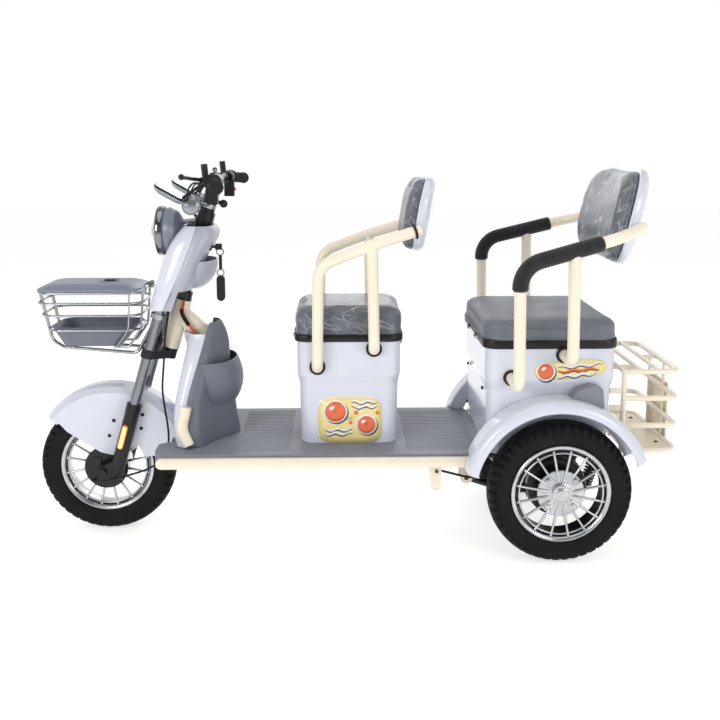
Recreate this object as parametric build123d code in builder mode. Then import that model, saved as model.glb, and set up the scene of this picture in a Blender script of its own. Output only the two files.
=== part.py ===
from build123d import *
from math import cos, radians, sin, sqrt, tan
import os

os.makedirs("parts", exist_ok=True)

# Electric tricycle, millimetres. It faces -X, its left side is -Y and +Z is up.
# The origin is on the ground, under the middle of the whole vehicle.

# ---- driving dimensions ----
tyre_diameter = 405
tyre_width = 80
rim_diameter = 278            # over the rim flanges
wheelbase = 1317
track = 524                   # between the rear wheels' middle planes
front_axle_x = -742
rake = 16.5                   # lean of the steering axis, degrees from upright
deck_over_axle = 98.5         # deck top above the axles
deck_width = 464
fork_spacing = 156            # between the fork legs' centre lines
fork_offset = 50              # fork legs ahead of the steering axis, square to it
tube_diameter = 32            # frame side tubes and handrails
shell_wall = 4                # plastic body panels
seat_wall = 4                 # seat boxes
mid_seat_x = -13              # middle of the driver's seat box
mid_box_length = 302
mid_box_width = 280
rear_box_length = 368
rear_box_width = 450
box_height = 309              # seat boxes above the deck top
seat_step = 204               # height of the boxes' lower, narrower stage
handlebar_width = 670
handlebar_diameter = 22

# ---- clearances ----
seat_gap = 0.3                # between pieces that rest on each other without a joint
running_gap = 1.5             # between a turning drum and its fixed plate
axle_gap = 0.3                # around an axle or pivot pin
tyre_gap = 0.3                # between tyre and rim

# ---- heights and places worked out from them ----
axle_z = tyre_diameter / 2
deck_z = axle_z + deck_over_axle
deck_thickness = 8
frame_top = deck_z - deck_thickness
frame_depth = 32
frame_bottom = frame_top - frame_depth
rear_axle_x = front_axle_x + wheelbase
rear_box_x = rear_axle_x - 23
box_top = deck_z + box_height
rear_overhang = 369.5
vehicle_rear = rear_axle_x + rear_overhang

# The steering axis passes through the bottom of the head tube.
head_x = front_axle_x + 197
head_z = axle_z + 360.5
slope = tan(radians(rake))
steering_axis = (sin(radians(rake)), 0, cos(radians(rake)))
steering_plane = Plane(origin=(head_x, 0, head_z), x_dir=(0, 1, 0), z_dir=steering_axis)


def axis_x(z):
    # where the steering axis is at a height
    return head_x + (z - head_z) * slope


def leg_x(z):
    # where the fork legs' centre lines are at a height
    return axis_x(z) - fork_offset / cos(radians(rake))


def save(piece, name):
    piece.part.label = name
    export_step(piece.part, f"parts/{name}.step")


def tube(points, bends, diameter, bore=0, mode=Mode.ADD):
    # round tube along straight runs joined by tangent arcs
    with BuildLine() as route:
        if len(points) == 2:
            Line(*points)
        else:
            FilletPolyline(*points, radius=bends)
    run = route.wire()
    with BuildSketch(Plane(origin=run @ 0, z_dir=run % 0)) as ring:
        Circle(diameter / 2)
        if bore:
            Circle(bore / 2, mode=Mode.SUBTRACT)
    sweep(sections=ring.sketch, path=run, mode=mode)


def cord(name, points, diameter):
    # held cable: each arc is as large as its two runs allow
    corners = [Vector(*point) for point in points]
    radii = []
    for before, corner, after in zip(corners, corners[1:], corners[2:]):
        half_turn = radians((corner - before).get_angle(after - corner)) / 2
        shorter = min((corner - before).length, (after - corner).length)
        radii.append(0.45 * shorter / tan(half_turn))
    print(name, "arc radii", [round(radius) for radius in radii])
    tube(points, radii, diameter)


def flip(points, side):
    # the same points on the left (-1) or right (1) side
    return [(x, side * y, z) for x, y, z in points]


def bar(low, high):
    # box between two corners
    middle = [(a + b) / 2 for a, b in zip(low, high)]
    size = [abs(b - a) for a, b in zip(low, high)]
    with Locations(tuple(middle)):
        Box(*size)


def round_bar(start, end, diameter, mode=Mode.ADD):
    # cylinder between two points
    with BuildSketch(Plane(origin=start, z_dir=Vector(*end) - Vector(*start))) as disc:
        Circle(diameter / 2)
    extrude(disc.sketch, amount=(Vector(*end) - Vector(*start)).length, mode=mode)


def shell_section(z, rim, wall):
    # horizontal slice of a bent panel: a curve through the rim's points and its inner twin,
    # where the rim runs from one edge to the centre line and is mirrored to the other edge
    towards = 1 if rim[-1][0] < rim[0][0] else -1
    half = rim[0][1]
    inner_rim = [(x + towards * wall * min(1, 2 - 2 * y / half), y - wall * y / half) for x, y in rim]
    outer = [(x, -y) for x, y in rim] + [(x, y) for x, y in reversed(rim[:-1])]
    inner = [(x, -y) for x, y in inner_rim] + [(x, y) for x, y in reversed(inner_rim[:-1])]
    with BuildSketch(Plane.XY.offset(z)) as section:
        with BuildLine():
            Spline(*outer)
            Spline(*inner)
            Line(outer[0], inner[0])
            Line(outer[-1], inner[-1])
        make_face()
    return section.sketch


# ---- wheels ----
# Each wheel is drawn in a plane through its axle: first axial, then radial.
rim_barrel = rim_diameter / 2 - 11
rim_width = tyre_width - 6
hub_bore = 12
spoke_count = 16
drum_radius = 62
lug_circle = 104


def wheel_plane(x, y):
    return Plane(origin=(x, y, axle_z), x_dir=(0, 1, 0), z_dir=(1, 0, 0))


def wheel_axis(x, y):
    return Axis((x, y, axle_z), (0, 1, 0))


def add_tyre(x, y):
    half = tyre_width / 2
    bead = rim_width / 2 - 4 - tyre_gap
    crown = tyre_diameter / 2
    rim_edge = rim_diameter / 2
    with BuildSketch(wheel_plane(x, y)) as section:
        with BuildLine():
            Line((-bead, rim_barrel + tyre_gap), (bead, rim_barrel + tyre_gap))
            Line((bead, rim_barrel + tyre_gap), (bead, rim_edge + 2))
            shoulder = crown - 12
            middle = (rim_edge + 2 + shoulder) / 2
            ThreePointArc((bead, rim_edge + 2), (half, middle), (bead, shoulder))
            ThreePointArc((bead, shoulder), (0, crown), (-bead, shoulder))
            ThreePointArc((-bead, shoulder), (-half, middle), (-bead, rim_edge + 2))
            Line((-bead, rim_edge + 2), (-bead, rim_barrel + tyre_gap))
        make_face()
    revolve(section.sketch, axis=wheel_axis(x, y))


def add_rim(x, y, out, hub_radius, face, hub_in, hub_out):
    # rim with its flanges, spokes and hub; out is +1 or -1, the way the wheel's face looks
    half = rim_width / 2
    edge = rim_diameter / 2
    with BuildSketch(wheel_plane(x, y)) as section:
        Polygon((half, edge), (half - 4, edge), (half - 4, rim_barrel), (4 - half, rim_barrel), (4 - half, edge),
                (-half, edge), (-half, rim_barrel - 6), (half, rim_barrel - 6), align=None)
        Polygon((hub_in * out, 0), (hub_out * out, 0), (hub_out * out, 30), (hub_in * out, 30), align=None)
        Polygon((face[0] * out, 0), (face[1] * out, 0), (face[1] * out, hub_radius),
                (face[0] * out, hub_radius), align=None)
    revolve(section.sketch, axis=wheel_axis(x, y))
    outer_face = Plane(origin=(x, y + out * (half - 3), axle_z), x_dir=(1, 0, 0), z_dir=(0, -out, 0))
    with BuildSketch(outer_face) as spokes:
        with PolarLocations(0, spoke_count, start_angle=180 / spoke_count):
            Polygon((hub_radius - 30, -5.5), (rim_barrel - 4, -4), (rim_barrel - 4, 4), (hub_radius - 30, 5.5),
                    align=None)
    extrude(spokes.sketch, amount=12)


with BuildPart() as front_tyre:
    add_tyre(front_axle_x, 0)
save(front_tyre, "front_tyre")

front_hub_half = 42
with BuildPart() as front_rim:
    add_rim(front_axle_x, 0, -1, drum_radius, (-front_hub_half, front_hub_half), -front_hub_half, front_hub_half)
    round_bar((front_axle_x, -60, axle_z), (front_axle_x, 60, axle_z), hub_bore + 2 * axle_gap,
              mode=Mode.SUBTRACT)
save(front_rim, "front_rim")

hub_disc = 67
rear_stub = 24
rear_drum_radius = 84
rear_drum_depth = 40
for side, word in ((-1, "left"), (1, "right")):
    wheel_y = side * track / 2
    with BuildPart() as rear_tyre:
        add_tyre(rear_axle_x, wheel_y)
    save(rear_tyre, f"rear_tyre_{word}")

    with BuildPart() as rear_rim:
        add_rim(rear_axle_x, wheel_y, side, hub_disc, (20, 30), -24, 40)
        cap = wheel_y + side * 40
        round_bar((rear_axle_x, cap - side * 2, axle_z), (rear_axle_x, cap + side * 6, axle_z), 54)
        lug_plane = Plane(origin=(rear_axle_x, wheel_y + side * 30, axle_z), x_dir=(1, 0, 0), z_dir=(0, side, 0))
        with BuildSketch(lug_plane):
            with PolarLocations(lug_circle / 2, 4, start_angle=45):
                RegularPolygon(9, 6)
        extrude(amount=9)
        drum_in = wheel_y - side * (24 + rear_drum_depth)
        round_bar((rear_axle_x, drum_in, axle_z), (rear_axle_x, wheel_y - side * 20, axle_z), 2 * rear_drum_radius)
        round_bar((rear_axle_x, drum_in - side, axle_z), (rear_axle_x, wheel_y - side * 28, axle_z),
                  2 * rear_drum_radius - 12, mode=Mode.SUBTRACT)
        round_bar((rear_axle_x, drum_in - side, axle_z), (rear_axle_x, wheel_y + side * 30, axle_z),
                  rear_stub + 2 * axle_gap, mode=Mode.SUBTRACT)
    save(rear_rim, f"rear_rim_{word}")

# ---- frame ----
head_tube_diameter = 50
head_tube_length = 150
steerer_diameter = 30
steerer_gap = 2
neck_width = 50
neck_depth = 54
neck_base_x = head_x + 143
neck_top_z = head_z + 104
rail_y = 100                  # middle of each long member under the deck
rail_width = 30
side_tube_y = deck_width / 2 + 3
side_tube_z = frame_top - tube_diameter / 2
cross_reach = side_tube_y - tube_diameter / 2 - seat_gap
frame_rear = rear_axle_x + 160
arm_y = 150                   # swing arms from the middle plane
pivot_x = rear_axle_x - 248
pivot_z = axle_z + 3.5

with BuildPart() as frame_neck:
    with BuildSketch(steering_plane):
        Circle(head_tube_diameter / 2)
    extrude(amount=head_tube_length)
    with BuildLine() as neck_run:
        FilletPolyline((axis_x(neck_top_z), 0, neck_top_z), (head_x + 102, 0, head_z + 38),
                       (neck_base_x, 0, head_z - 83), (neck_base_x, 0, frame_bottom), radius=[120, 150])
    with BuildSketch(Plane(origin=neck_run.wire() @ 0, x_dir=(0, 1, 0), z_dir=neck_run.wire() % 0)):
        RectangleRounded(neck_width, neck_depth, 18)
    sweep(path=neck_run.wire())
    with BuildSketch(steering_plane.offset(-30)):
        Circle(steerer_diameter / 2 + steerer_gap)
    extrude(amount=head_tube_length + 60, mode=Mode.SUBTRACT)
save(frame_neck, "frame_neck")

neck_front = neck_base_x - neck_depth / 2 - seat_gap
neck_back = neck_base_x + neck_depth / 2 + seat_gap
cross_width = 30
cross_members = [
    (neck_front - cross_width / 2, cross_reach),
    (neck_back + cross_width / 2, cross_reach),
    (mid_seat_x - 130, cross_reach),
    (mid_seat_x + 130, cross_reach),
    (pivot_x - 95, cross_reach),
    (pivot_x, arm_y + 24),
    (rear_axle_x - 130, arm_y + 24),
    (frame_rear - cross_width / 2, arm_y + 24),
]
shock_x = rear_axle_x + 130
lug_thickness = 6
lug_gap = 15.3                # half the room between a pair of lugs
with BuildPart() as ladder_frame:
    for side in (-1, 1):
        bar((neck_front - cross_width, side * (rail_y - rail_width / 2), frame_bottom),
            (frame_rear, side * (rail_y + rail_width / 2), frame_top))
        for inner_face in (arm_y - lug_gap - lug_thickness, arm_y + lug_gap):
            lug_y = side * (inner_face + lug_thickness / 2)
            with BuildSketch(Plane(origin=(pivot_x, lug_y, pivot_z), x_dir=(1, 0, 0), z_dir=(0, -1, 0))) as lug:
                Circle(18)
                with Locations((0, (frame_bottom + 2 - pivot_z) / 2)):
                    Rectangle(36, frame_bottom + 2 - pivot_z)
                Circle(6 + axle_gap, mode=Mode.SUBTRACT)
            extrude(lug.sketch, amount=lug_thickness / 2, both=True)
            with BuildSketch(Plane(origin=(shock_x, lug_y, frame_bottom - 10), x_dir=(1, 0, 0),
                                   z_dir=(0, -1, 0))) as shock_lug:
                Circle(14)
                with Locations((0, 12)):
                    Rectangle(28, 24)
                Circle(5 + axle_gap, mode=Mode.SUBTRACT)
            extrude(shock_lug.sketch, amount=lug_thickness / 2, both=True)
    for cross_x, reach in cross_members:
        bar((cross_x - cross_width / 2, -reach, frame_bottom), (cross_x + cross_width / 2, reach, frame_top))
    bar((shock_x - 15, -arm_y - 24, frame_bottom), (shock_x + 15, arm_y + 24, frame_top))
    # hanger plate for the foot brake's crank, left side only
    crank_x = pivot_x - 90
    crank_z = frame_bottom - 23
    with BuildSketch(Plane(origin=(crank_x, -200, crank_z), x_dir=(1, 0, 0), z_dir=(0, -1, 0))) as hanger:
        Polygon((-24, 25), (14, 25), (14, -52), (4, -60), (-8, -60), (-16, -50), align=None)
        Circle(5, mode=Mode.SUBTRACT)
        with Locations((-3, -46)):
            Circle(5, mode=Mode.SUBTRACT)
    extrude(hanger.sketch, amount=3, both=True)
save(ladder_frame, "ladder_frame")

deck_front = front_axle_x + 177
deck_rear = rear_box_x - rear_box_length / 2 + 8
side_tube_front = deck_front + 24
with BuildPart() as deck_rails:
    for side in (-1, 1):
        tube(flip([(side_tube_front, side_tube_y, side_tube_z), (deck_rear - 12, side_tube_y, side_tube_z),
                   (deck_rear - 12, rail_y + rail_width / 2 + 50, side_tube_z)], side), [60], tube_diameter)
        with Locations((side_tube_front, side * side_tube_y, side_tube_z)):
            Sphere(tube_diameter / 2)
save(deck_rails, "deck_rails")

# The deck's front is cut back round the steered wheel, between two arms with an apron.
wheel_cut = 142
apron_depth = 46
apron_wall = 6
with BuildPart() as floor_deck:
    with BuildSketch(Plane.XY.offset(frame_top)):
        with Locations(((deck_front + deck_rear) / 2, 0)):
            RectangleRounded(deck_rear - deck_front, deck_width, 40)
        with Locations((axis_x(deck_z), 0)):
            Circle(wheel_cut, mode=Mode.SUBTRACT)
        with Locations((neck_base_x, 0)):
            Rectangle(neck_depth + 8, neck_width + 8, mode=Mode.SUBTRACT)
    extrude(amount=deck_thickness)
    with BuildSketch(Plane.XY.offset(frame_top - apron_depth + 8)):
        with Locations(((deck_front + deck_rear) / 2, 0)):
            RectangleRounded(deck_rear - deck_front, deck_width, 40)
            offset(amount=-apron_wall, mode=Mode.SUBTRACT)
        with Locations((axis_x(deck_z), 0)):
            Circle(wheel_cut, mode=Mode.SUBTRACT)
        with Locations((side_tube_front - 20 + 1000, 0)):
            Rectangle(2000, 2 * deck_width, mode=Mode.SUBTRACT)
    extrude(amount=apron_depth - 8)
save(floor_deck, "floor_deck")

# ---- leg shield ----
shield_x = front_axle_x + 260
# height above the deck, edge x, side front x, middle x, half width, all from shield_x
shield_slices = [
    (2, 6, -30, 5, 168),
    (42, 3, -35, 2, 166),
    (96, 0, -36, -5, 156),
    (147, 7, -29, -9, 138),
    (210, 24, -16, -8, 115),
    (266, 40, -2, -15, 90),
    (311, 51, 10, -22, 68),
]
shield_tube_run = [(shield_x + 4, 163, deck_z + 120), (shield_x - 10, 170, deck_z + 58),
                   (shield_x + 11, 178, deck_z + 10)]

with BuildPart() as leg_shield_outer:
    slices = []
    for up, edge, side_front, middle, half in shield_slices:
        rim = [(shield_x + edge, half), (shield_x + (edge + side_front) / 2 - 4, half - 2),
               (shield_x + side_front, half * 0.86), (shield_x + (side_front + middle) / 2, half * 0.5),
               (shield_x + middle, 0)]
        slices.append(shell_section(deck_z + up, rim, shell_wall))
    loft(sections=slices)
    for side in (-1, 1):
        tube(flip(shield_tube_run, side), [60], tube_diameter + 2, mode=Mode.SUBTRACT)
save(leg_shield_outer, "leg_shield_outer")

# height above the deck, edge x, side rear x, ridge x, half width
panel_slices = [
    (2, 6, 60, 139, 168),
    (42, 3, 56, 134, 166),
    (96, 0, 52, 127, 156),
    (147, 7, 58, 121, 138),
    (210, 24, 68, 114, 115),
    (266, 40, 72, 112, 90),
    (311, 51, 76, 104, 68),
    (342, 60, 78, 90, 46),
]
with BuildPart() as leg_shield_inner:
    slices = []
    for up, edge, side_rear, ridge, half in panel_slices:
        rim = [(shield_x + edge + seat_gap, half), (shield_x + side_rear - 14, half * 0.93),
               (shield_x + side_rear, half * 0.75),
               (shield_x + (side_rear + ridge) / 2, half * 0.38), (shield_x + ridge, 0)]
        slices.append(shell_section(deck_z + up, rim, shell_wall))
    loft(sections=slices)
    for side in (-1, 1):
        tube(flip(shield_tube_run, side), [60], tube_diameter + 2, mode=Mode.SUBTRACT)
save(leg_shield_inner, "leg_shield_inner")

with BuildPart() as shield_tubes:
    for side in (-1, 1):
        tube(flip(shield_tube_run, side), [60], tube_diameter)
save(shield_tubes, "shield_tubes")

# The storage pocket is a tapered bowl on the inner panel's rear.
# height above the deck, rear x from shield_x, half width
pocket_slices = [(104, 131, 84), (146, 149, 104), (232, 134, 112)]
pocket_wall = 3


def pocket_face(up, reach, half, inset):
    # slice of the pocket: a round rear edge closed by a straight front
    front = shield_x + 40 + inset
    rear = shield_x + reach - inset
    side = half - inset
    with BuildSketch(Plane.XY.offset(deck_z + up)) as face:
        with BuildLine():
            Line((front, -side), (front, side))
            Line((front, side), (front + 20, side))
            Spline((front + 20, side), (rear - 24, side * 0.72), (rear, 0), (rear - 24, -side * 0.72),
                   (front + 20, -side))
            Line((front + 20, -side), (front, -side))
        make_face()
    return face.sketch


with BuildPart() as storage_pocket:
    loft(sections=[pocket_face(*piece, 0) for piece in pocket_slices])
    lifted = [(up + (pocket_wall if up == pocket_slices[0][0] else 0), reach, half)
              for up, reach, half in pocket_slices[:-1]]
    rim_up, rim_reach, rim_half = pocket_slices[-1]
    loft(sections=[pocket_face(*piece, pocket_wall) for piece in lifted + [(rim_up + 0.01, rim_reach, rim_half)]],
         mode=Mode.SUBTRACT)
    # what lies inside the leg shield's panel is cut away, with the panel's own outline
    keep_out = []
    for up, edge, side_rear, ridge, half in panel_slices:
        with BuildSketch(Plane.XY.offset(deck_z + up)) as slice_face:
            with BuildLine():
                rim = [(shield_x + edge, half), (shield_x + side_rear - 14, half * 0.93),
                       (shield_x + side_rear, half * 0.75), (shield_x + (side_rear + ridge) / 2, half * 0.38),
                       (shield_x + ridge, 0)]
                rim = [(x + seat_gap * 2, y + seat_gap) for x, y in rim[:-1]] + [(rim[-1][0] + seat_gap * 2, 0)]
                Spline(*([(x, -y) for x, y in rim] + [(x, y) for x, y in reversed(rim[:-1])]))
                Line((rim[0][0], rim[0][1]), (shield_x - 200, rim[0][1]))
                Line((shield_x - 200, rim[0][1]), (shield_x - 200, -rim[0][1]))
                Line((shield_x - 200, -rim[0][1]), (rim[0][0], -rim[0][1]))
            make_face()
        keep_out.append(slice_face.sketch)
    loft(sections=keep_out, mode=Mode.SUBTRACT)
save(storage_pocket, "storage_pocket")

# ---- seats ----
lid_thickness = 9
cushion_corner = 45
mid_cushion_height = 84
rear_cushion_height = 62
corner_radius = 38


seat_slope = 24               # height of the slope between a seat box's two stages


def seat_box(x, length, width, base):
    # hollow box, open at the top: a narrower lower stage, a slope and a straight upper stage
    def outline(z, cut, wall=0):
        with BuildSketch(Plane.XY.offset(z)) as level:
            with Locations((x, 0)):
                RectangleRounded(length - cut - 2 * wall, width - cut + 2 - 2 * wall, corner_radius - wall)
        return level.sketch

    step = deck_z + seat_step
    foot_cut, waist_cut, top_cut = 22, 14, 2
    loft(sections=[outline(base + seat_gap, foot_cut), outline(step - seat_slope, waist_cut)])
    loft(sections=[outline(step - seat_slope, waist_cut), outline(step, top_cut)])
    extrude(outline(step, top_cut), amount=box_height - seat_step)
    loft(sections=[outline(base + seat_gap + seat_wall, foot_cut, seat_wall),
                   outline(step - seat_slope + 1, waist_cut, seat_wall)], mode=Mode.SUBTRACT)
    loft(sections=[outline(step - seat_slope + 1, waist_cut, seat_wall),
                   outline(step + 1, top_cut, seat_wall)], mode=Mode.SUBTRACT)
    extrude(outline(step + 1, top_cut, seat_wall), amount=box_height, mode=Mode.SUBTRACT)


hinge_pin = 5
mid_hinge_x = mid_seat_x - mid_box_length / 2 - 7
rear_hinge_x = rear_box_x - rear_box_length / 2 - 7
hinge_z = box_top - 4


def seat_hinge_box_side(x, width):
    # the box carries a pin between two ears, rounded so that the lid's edge swings clear of them
    for side in (-1, 1):
        ear = side * width / 5
        round_bar((x, ear - 3, hinge_z), (x, ear + 3, hinge_z), 9)
        bar((x, ear - 3, hinge_z - 4.5), (x + 7.5, ear + 3, hinge_z + 4.2))
    round_bar((x, -width / 5 - 3, hinge_z), (x, width / 5 + 3, hinge_z), hinge_pin)


def seat_lid(x, length, width, hinge_x):
    # black pan under the cushion, with two hinge eyes on the box's pin
    with BuildSketch(Plane.XY.offset(box_top + 1)) as pan:
        with Locations((x, 0)):
            RectangleRounded(length + 10, width + 4, corner_radius + 2)
    extrude(pan.sketch, amount=lid_thickness)
    for side in (-1, 1):
        for place in (width / 5 - 14, width / 5 - 26):
            y = side * place
            with BuildSketch(Plane(origin=(hinge_x, y, hinge_z), x_dir=(1, 0, 0), z_dir=(0, -1, 0))) as eye:
                Circle(5.5)
                with Locations((2, 5)):
                    Rectangle(7, 7.5)
                Circle(hinge_pin / 2 + axle_gap, mode=Mode.SUBTRACT)
            extrude(eye.sketch, amount=3, both=True)


def cushion(x, length, width, z, height, corner):
    with BuildSketch(Plane.XY.offset(z)) as outline:
        with Locations((x, 0)):
            RectangleRounded(length, width, corner)
    extrude(outline.sketch, amount=height)


with BuildPart() as mid_seat_box:
    seat_box(mid_seat_x, mid_box_length, mid_box_width, deck_z)
    seat_hinge_box_side(mid_hinge_x, mid_box_width)
save(mid_seat_box, "mid_seat_box")

with BuildPart() as mid_lid_pan:
    seat_lid(mid_seat_x, mid_box_length, mid_box_width, mid_hinge_x)
save(mid_lid_pan, "mid_lid_pan")

cushion_z = box_top + 1 + lid_thickness + seat_gap
with BuildPart() as mid_cushion:
    cushion(mid_seat_x, mid_box_length + 16, mid_box_width + 6, cushion_z, mid_cushion_height, cushion_corner)
    fillet(mid_cushion.faces().sort_by(Axis.Z)[-1].edges(), 20)
save(mid_cushion, "mid_cushion")

with BuildPart() as rear_seat_box:
    seat_box(rear_box_x, rear_box_length, rear_box_width, frame_top)
    seat_hinge_box_side(rear_hinge_x, rear_box_width)
save(rear_seat_box, "rear_seat_box")

with BuildPart() as rear_lid_pan:
    seat_lid(rear_box_x, rear_box_length, rear_box_width, rear_hinge_x)
save(rear_lid_pan, "rear_lid_pan")

with BuildPart() as rear_cushion:
    cushion(rear_box_x, rear_box_length + 20, rear_box_width + 14, cushion_z, rear_cushion_height, 60)
    fillet(rear_cushion.faces().sort_by(Axis.Z)[-1].edges(), 18)
save(rear_cushion, "rear_cushion")

# The battery stands on the rear seat box's floor.
battery_size = (181, 308, 170)
with BuildPart() as battery_pack:
    with Locations((rear_box_x, 0, frame_top + 2 * seat_gap + seat_wall + battery_size[2] / 2)):
        Box(*battery_size)
save(battery_pack, "battery_pack")

# ---- handrails and backrests ----
mid_rail_y = mid_box_width / 2 + 26
mid_back_x = mid_seat_x + 148          # backrest's front face at its foot
mid_back_z = deck_z + 562
mid_back_height = 220
mid_back_half = 144
mid_lean = 10
mid_rail_end_z = mid_back_z + 62
rear_rail_y = 342
rear_back_x = rear_box_x + 156
rear_back_z = deck_z + 533
rear_back_height = 275
rear_back_half = 234
rear_lean = 12
rear_rail_end_z = rear_back_z + 104
grommet_diameter = 46
grommet_depth = 6


def mid_rail_points(side):
    box_side = mid_box_width / 2 + seat_gap
    front = mid_seat_x - 90
    return flip([(front, box_side, box_top - 78), (front, mid_rail_y, box_top - 78),
                 (front + 5, mid_rail_y, box_top + 216), (mid_seat_x + 65, mid_rail_y, box_top + 274),
                 (mid_back_x + 54, mid_back_half + 6, mid_rail_end_z)], side)


def rear_rail_points(side):
    box_side = rear_box_width / 2 + seat_gap
    front = rear_box_x - 112
    return flip([(front, box_side, box_top - 92), (front, rear_rail_y, box_top - 92),
                 (front - 6, rear_rail_y, box_top + 236), (rear_box_x + 150, rear_rail_y - 35, box_top + 306),
                 (rear_back_x + 76, rear_back_half + 6, rear_rail_end_z)], side)


mid_bends = [20, 60, 140]
rear_bends = [34, 72, 140]
mid_post = [(mid_seat_x + 72, mid_box_width / 2 + seat_gap, box_top - 26),
            (mid_seat_x + 72, mid_rail_y, box_top - 26), (mid_seat_x + 66, mid_rail_y, box_top + 268)]
rear_post = [(rear_box_x + 34, rear_box_width / 2 + seat_gap, box_top - 27),
             (rear_box_x + 34, rear_rail_y - 18, box_top - 27), (rear_box_x + 28, rear_rail_y - 18, box_top + 273)]
with BuildPart() as mid_rails:
    for side in (-1, 1):
        tube(mid_rail_points(side), mid_bends, tube_diameter)
        tube(flip(mid_post, side), [20], tube_diameter)
save(mid_rails, "mid_rails")

with BuildPart() as rear_rails:
    for side in (-1, 1):
        tube(rear_rail_points(side), rear_bends, tube_diameter)
        tube(flip(rear_post, side), [34], tube_diameter)
save(rear_rails, "rear_rails")

with BuildPart() as rail_grommets:
    for side in (-1, 1):
        for points in (mid_rail_points(1), mid_post, rear_rail_points(1), rear_post):
            x, y, z = points[0]
            start = (x, side * (y - seat_gap + 0.1), z)
            end = (x, side * (y + grommet_depth), z)
            round_bar(start, end, grommet_diameter)
            round_bar(start, end, tube_diameter + 2 * seat_gap, mode=Mode.SUBTRACT)
save(rail_grommets, "rail_grommets")

# Foam armrest sleeves: from the top of the front post round the bend and along the top.
grip_diameter = 44
with BuildPart() as armrest_grips:
    for side in (-1, 1):
        points = rear_rail_points(side)
        with BuildLine() as whole:
            FilletPolyline(*points, radius=rear_bends)
        pieces = whole.edges().sort_by(lambda edge: whole.wire().param_at_point(edge @ 0.5))
        lower = pieces[2].trim(0.95, 1)
        upper = pieces[4].trim(0, 0.96)
        with BuildLine() as route:
            add([lower, pieces[3], upper])
        run = route.wire()
        with BuildSketch(Plane(origin=run @ 0, z_dir=run % 0)) as ring:
            Circle(grip_diameter / 2)
            Circle(tube_diameter / 2 + seat_gap, mode=Mode.SUBTRACT)
        sweep(sections=ring.sketch, path=run)
        tube(flip(rear_post, side), [34], tube_diameter + 2 * seat_gap, mode=Mode.SUBTRACT)
save(armrest_grips, "armrest_grips")


def backrest_plane(x, z, lean):
    # x across, y forward, z up the backrest
    return Plane(origin=(x, 0, z), x_dir=(0, 1, 0), z_dir=(sin(radians(lean)), 0, cos(radians(lean))))


def bent_panel(plane, near, far, half, height, bend, corner):
    # panel between two depths behind the plane, curved forward at its sides, with rounded corners
    near_edge = bend - sqrt((bend + near) ** 2 - half ** 2)
    far_edge = bend - sqrt((bend + far) ** 2 - half ** 2)
    with BuildSketch(plane) as plan:
        with BuildLine():
            ThreePointArc((-half, near_edge), (0, -near), (half, near_edge))
            Line((half, near_edge), (half, far_edge))
            ThreePointArc((half, far_edge), (0, -far), (-half, far_edge))
            Line((-half, far_edge), (-half, near_edge))
        make_face()
    extrude(plan.sketch, amount=height)
    face_plane = Plane(origin=plane.origin, x_dir=(0, 1, 0), z_dir=-plane.y_dir)
    with BuildSketch(face_plane) as outline:
        with Locations((0, height / 2)):
            RectangleRounded(2 * half - 0.2, height - 0.2, corner)
    extrude(outline.sketch, amount=300, both=True, mode=Mode.INTERSECT)


mid_pad_depth = 40
rear_pad_depth = 46
mid_back_plane = backrest_plane(mid_back_x, mid_back_z, mid_lean)
rear_back_plane = backrest_plane(rear_back_x, rear_back_z, rear_lean)
with BuildPart() as mid_shell:
    bent_panel(mid_back_plane, mid_pad_depth + seat_gap, mid_pad_depth + 34, mid_back_half, mid_back_height, 700, 86)
with BuildPart() as rear_shell:
    bent_panel(rear_back_plane, rear_pad_depth + seat_gap, rear_pad_depth + 36, rear_back_half, rear_back_height,
               900, 116)
with BuildPart() as back_shells:
    add(mid_shell.part)
    add(rear_shell.part)
    for side in (-1, 1):
        tube(mid_rail_points(side), mid_bends, tube_diameter + 2 * seat_gap, mode=Mode.SUBTRACT)
        tube(rear_rail_points(side), rear_bends, tube_diameter + 2 * seat_gap, mode=Mode.SUBTRACT)
save(back_shells, "back_shells")

with BuildPart() as mid_pad:
    bent_panel(mid_back_plane, 0, mid_pad_depth, mid_back_half - 14, mid_back_height - 6, 700, 78)
with BuildPart() as rear_pad:
    bent_panel(rear_back_plane, 0, rear_pad_depth, rear_back_half - 12, rear_back_height - 8, 900, 108)
with BuildPart() as back_pads:
    add(mid_pad.part)
    add(rear_pad.part)
save(back_pads, "back_pads")

# ---- rear end ----
fender_radius = tyre_diameter / 2 + 60
fender_in = rear_box_width / 2 - 6 + seat_gap
fender_out = track / 2 + tyre_width / 2 + 12
fender_wall = 3.5
fender_x = rear_axle_x - 10
fender_z = axle_z + 5.5


def fender_profile(radius):
    # slice through the fender: flat over the tyre, rolled down outside, with a flange against the box
    return [(fender_in, radius - 45), (fender_in, radius), (fender_out - 28, radius), (fender_out - 10, radius - 8),
            (fender_out, radius - 26)]


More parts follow.
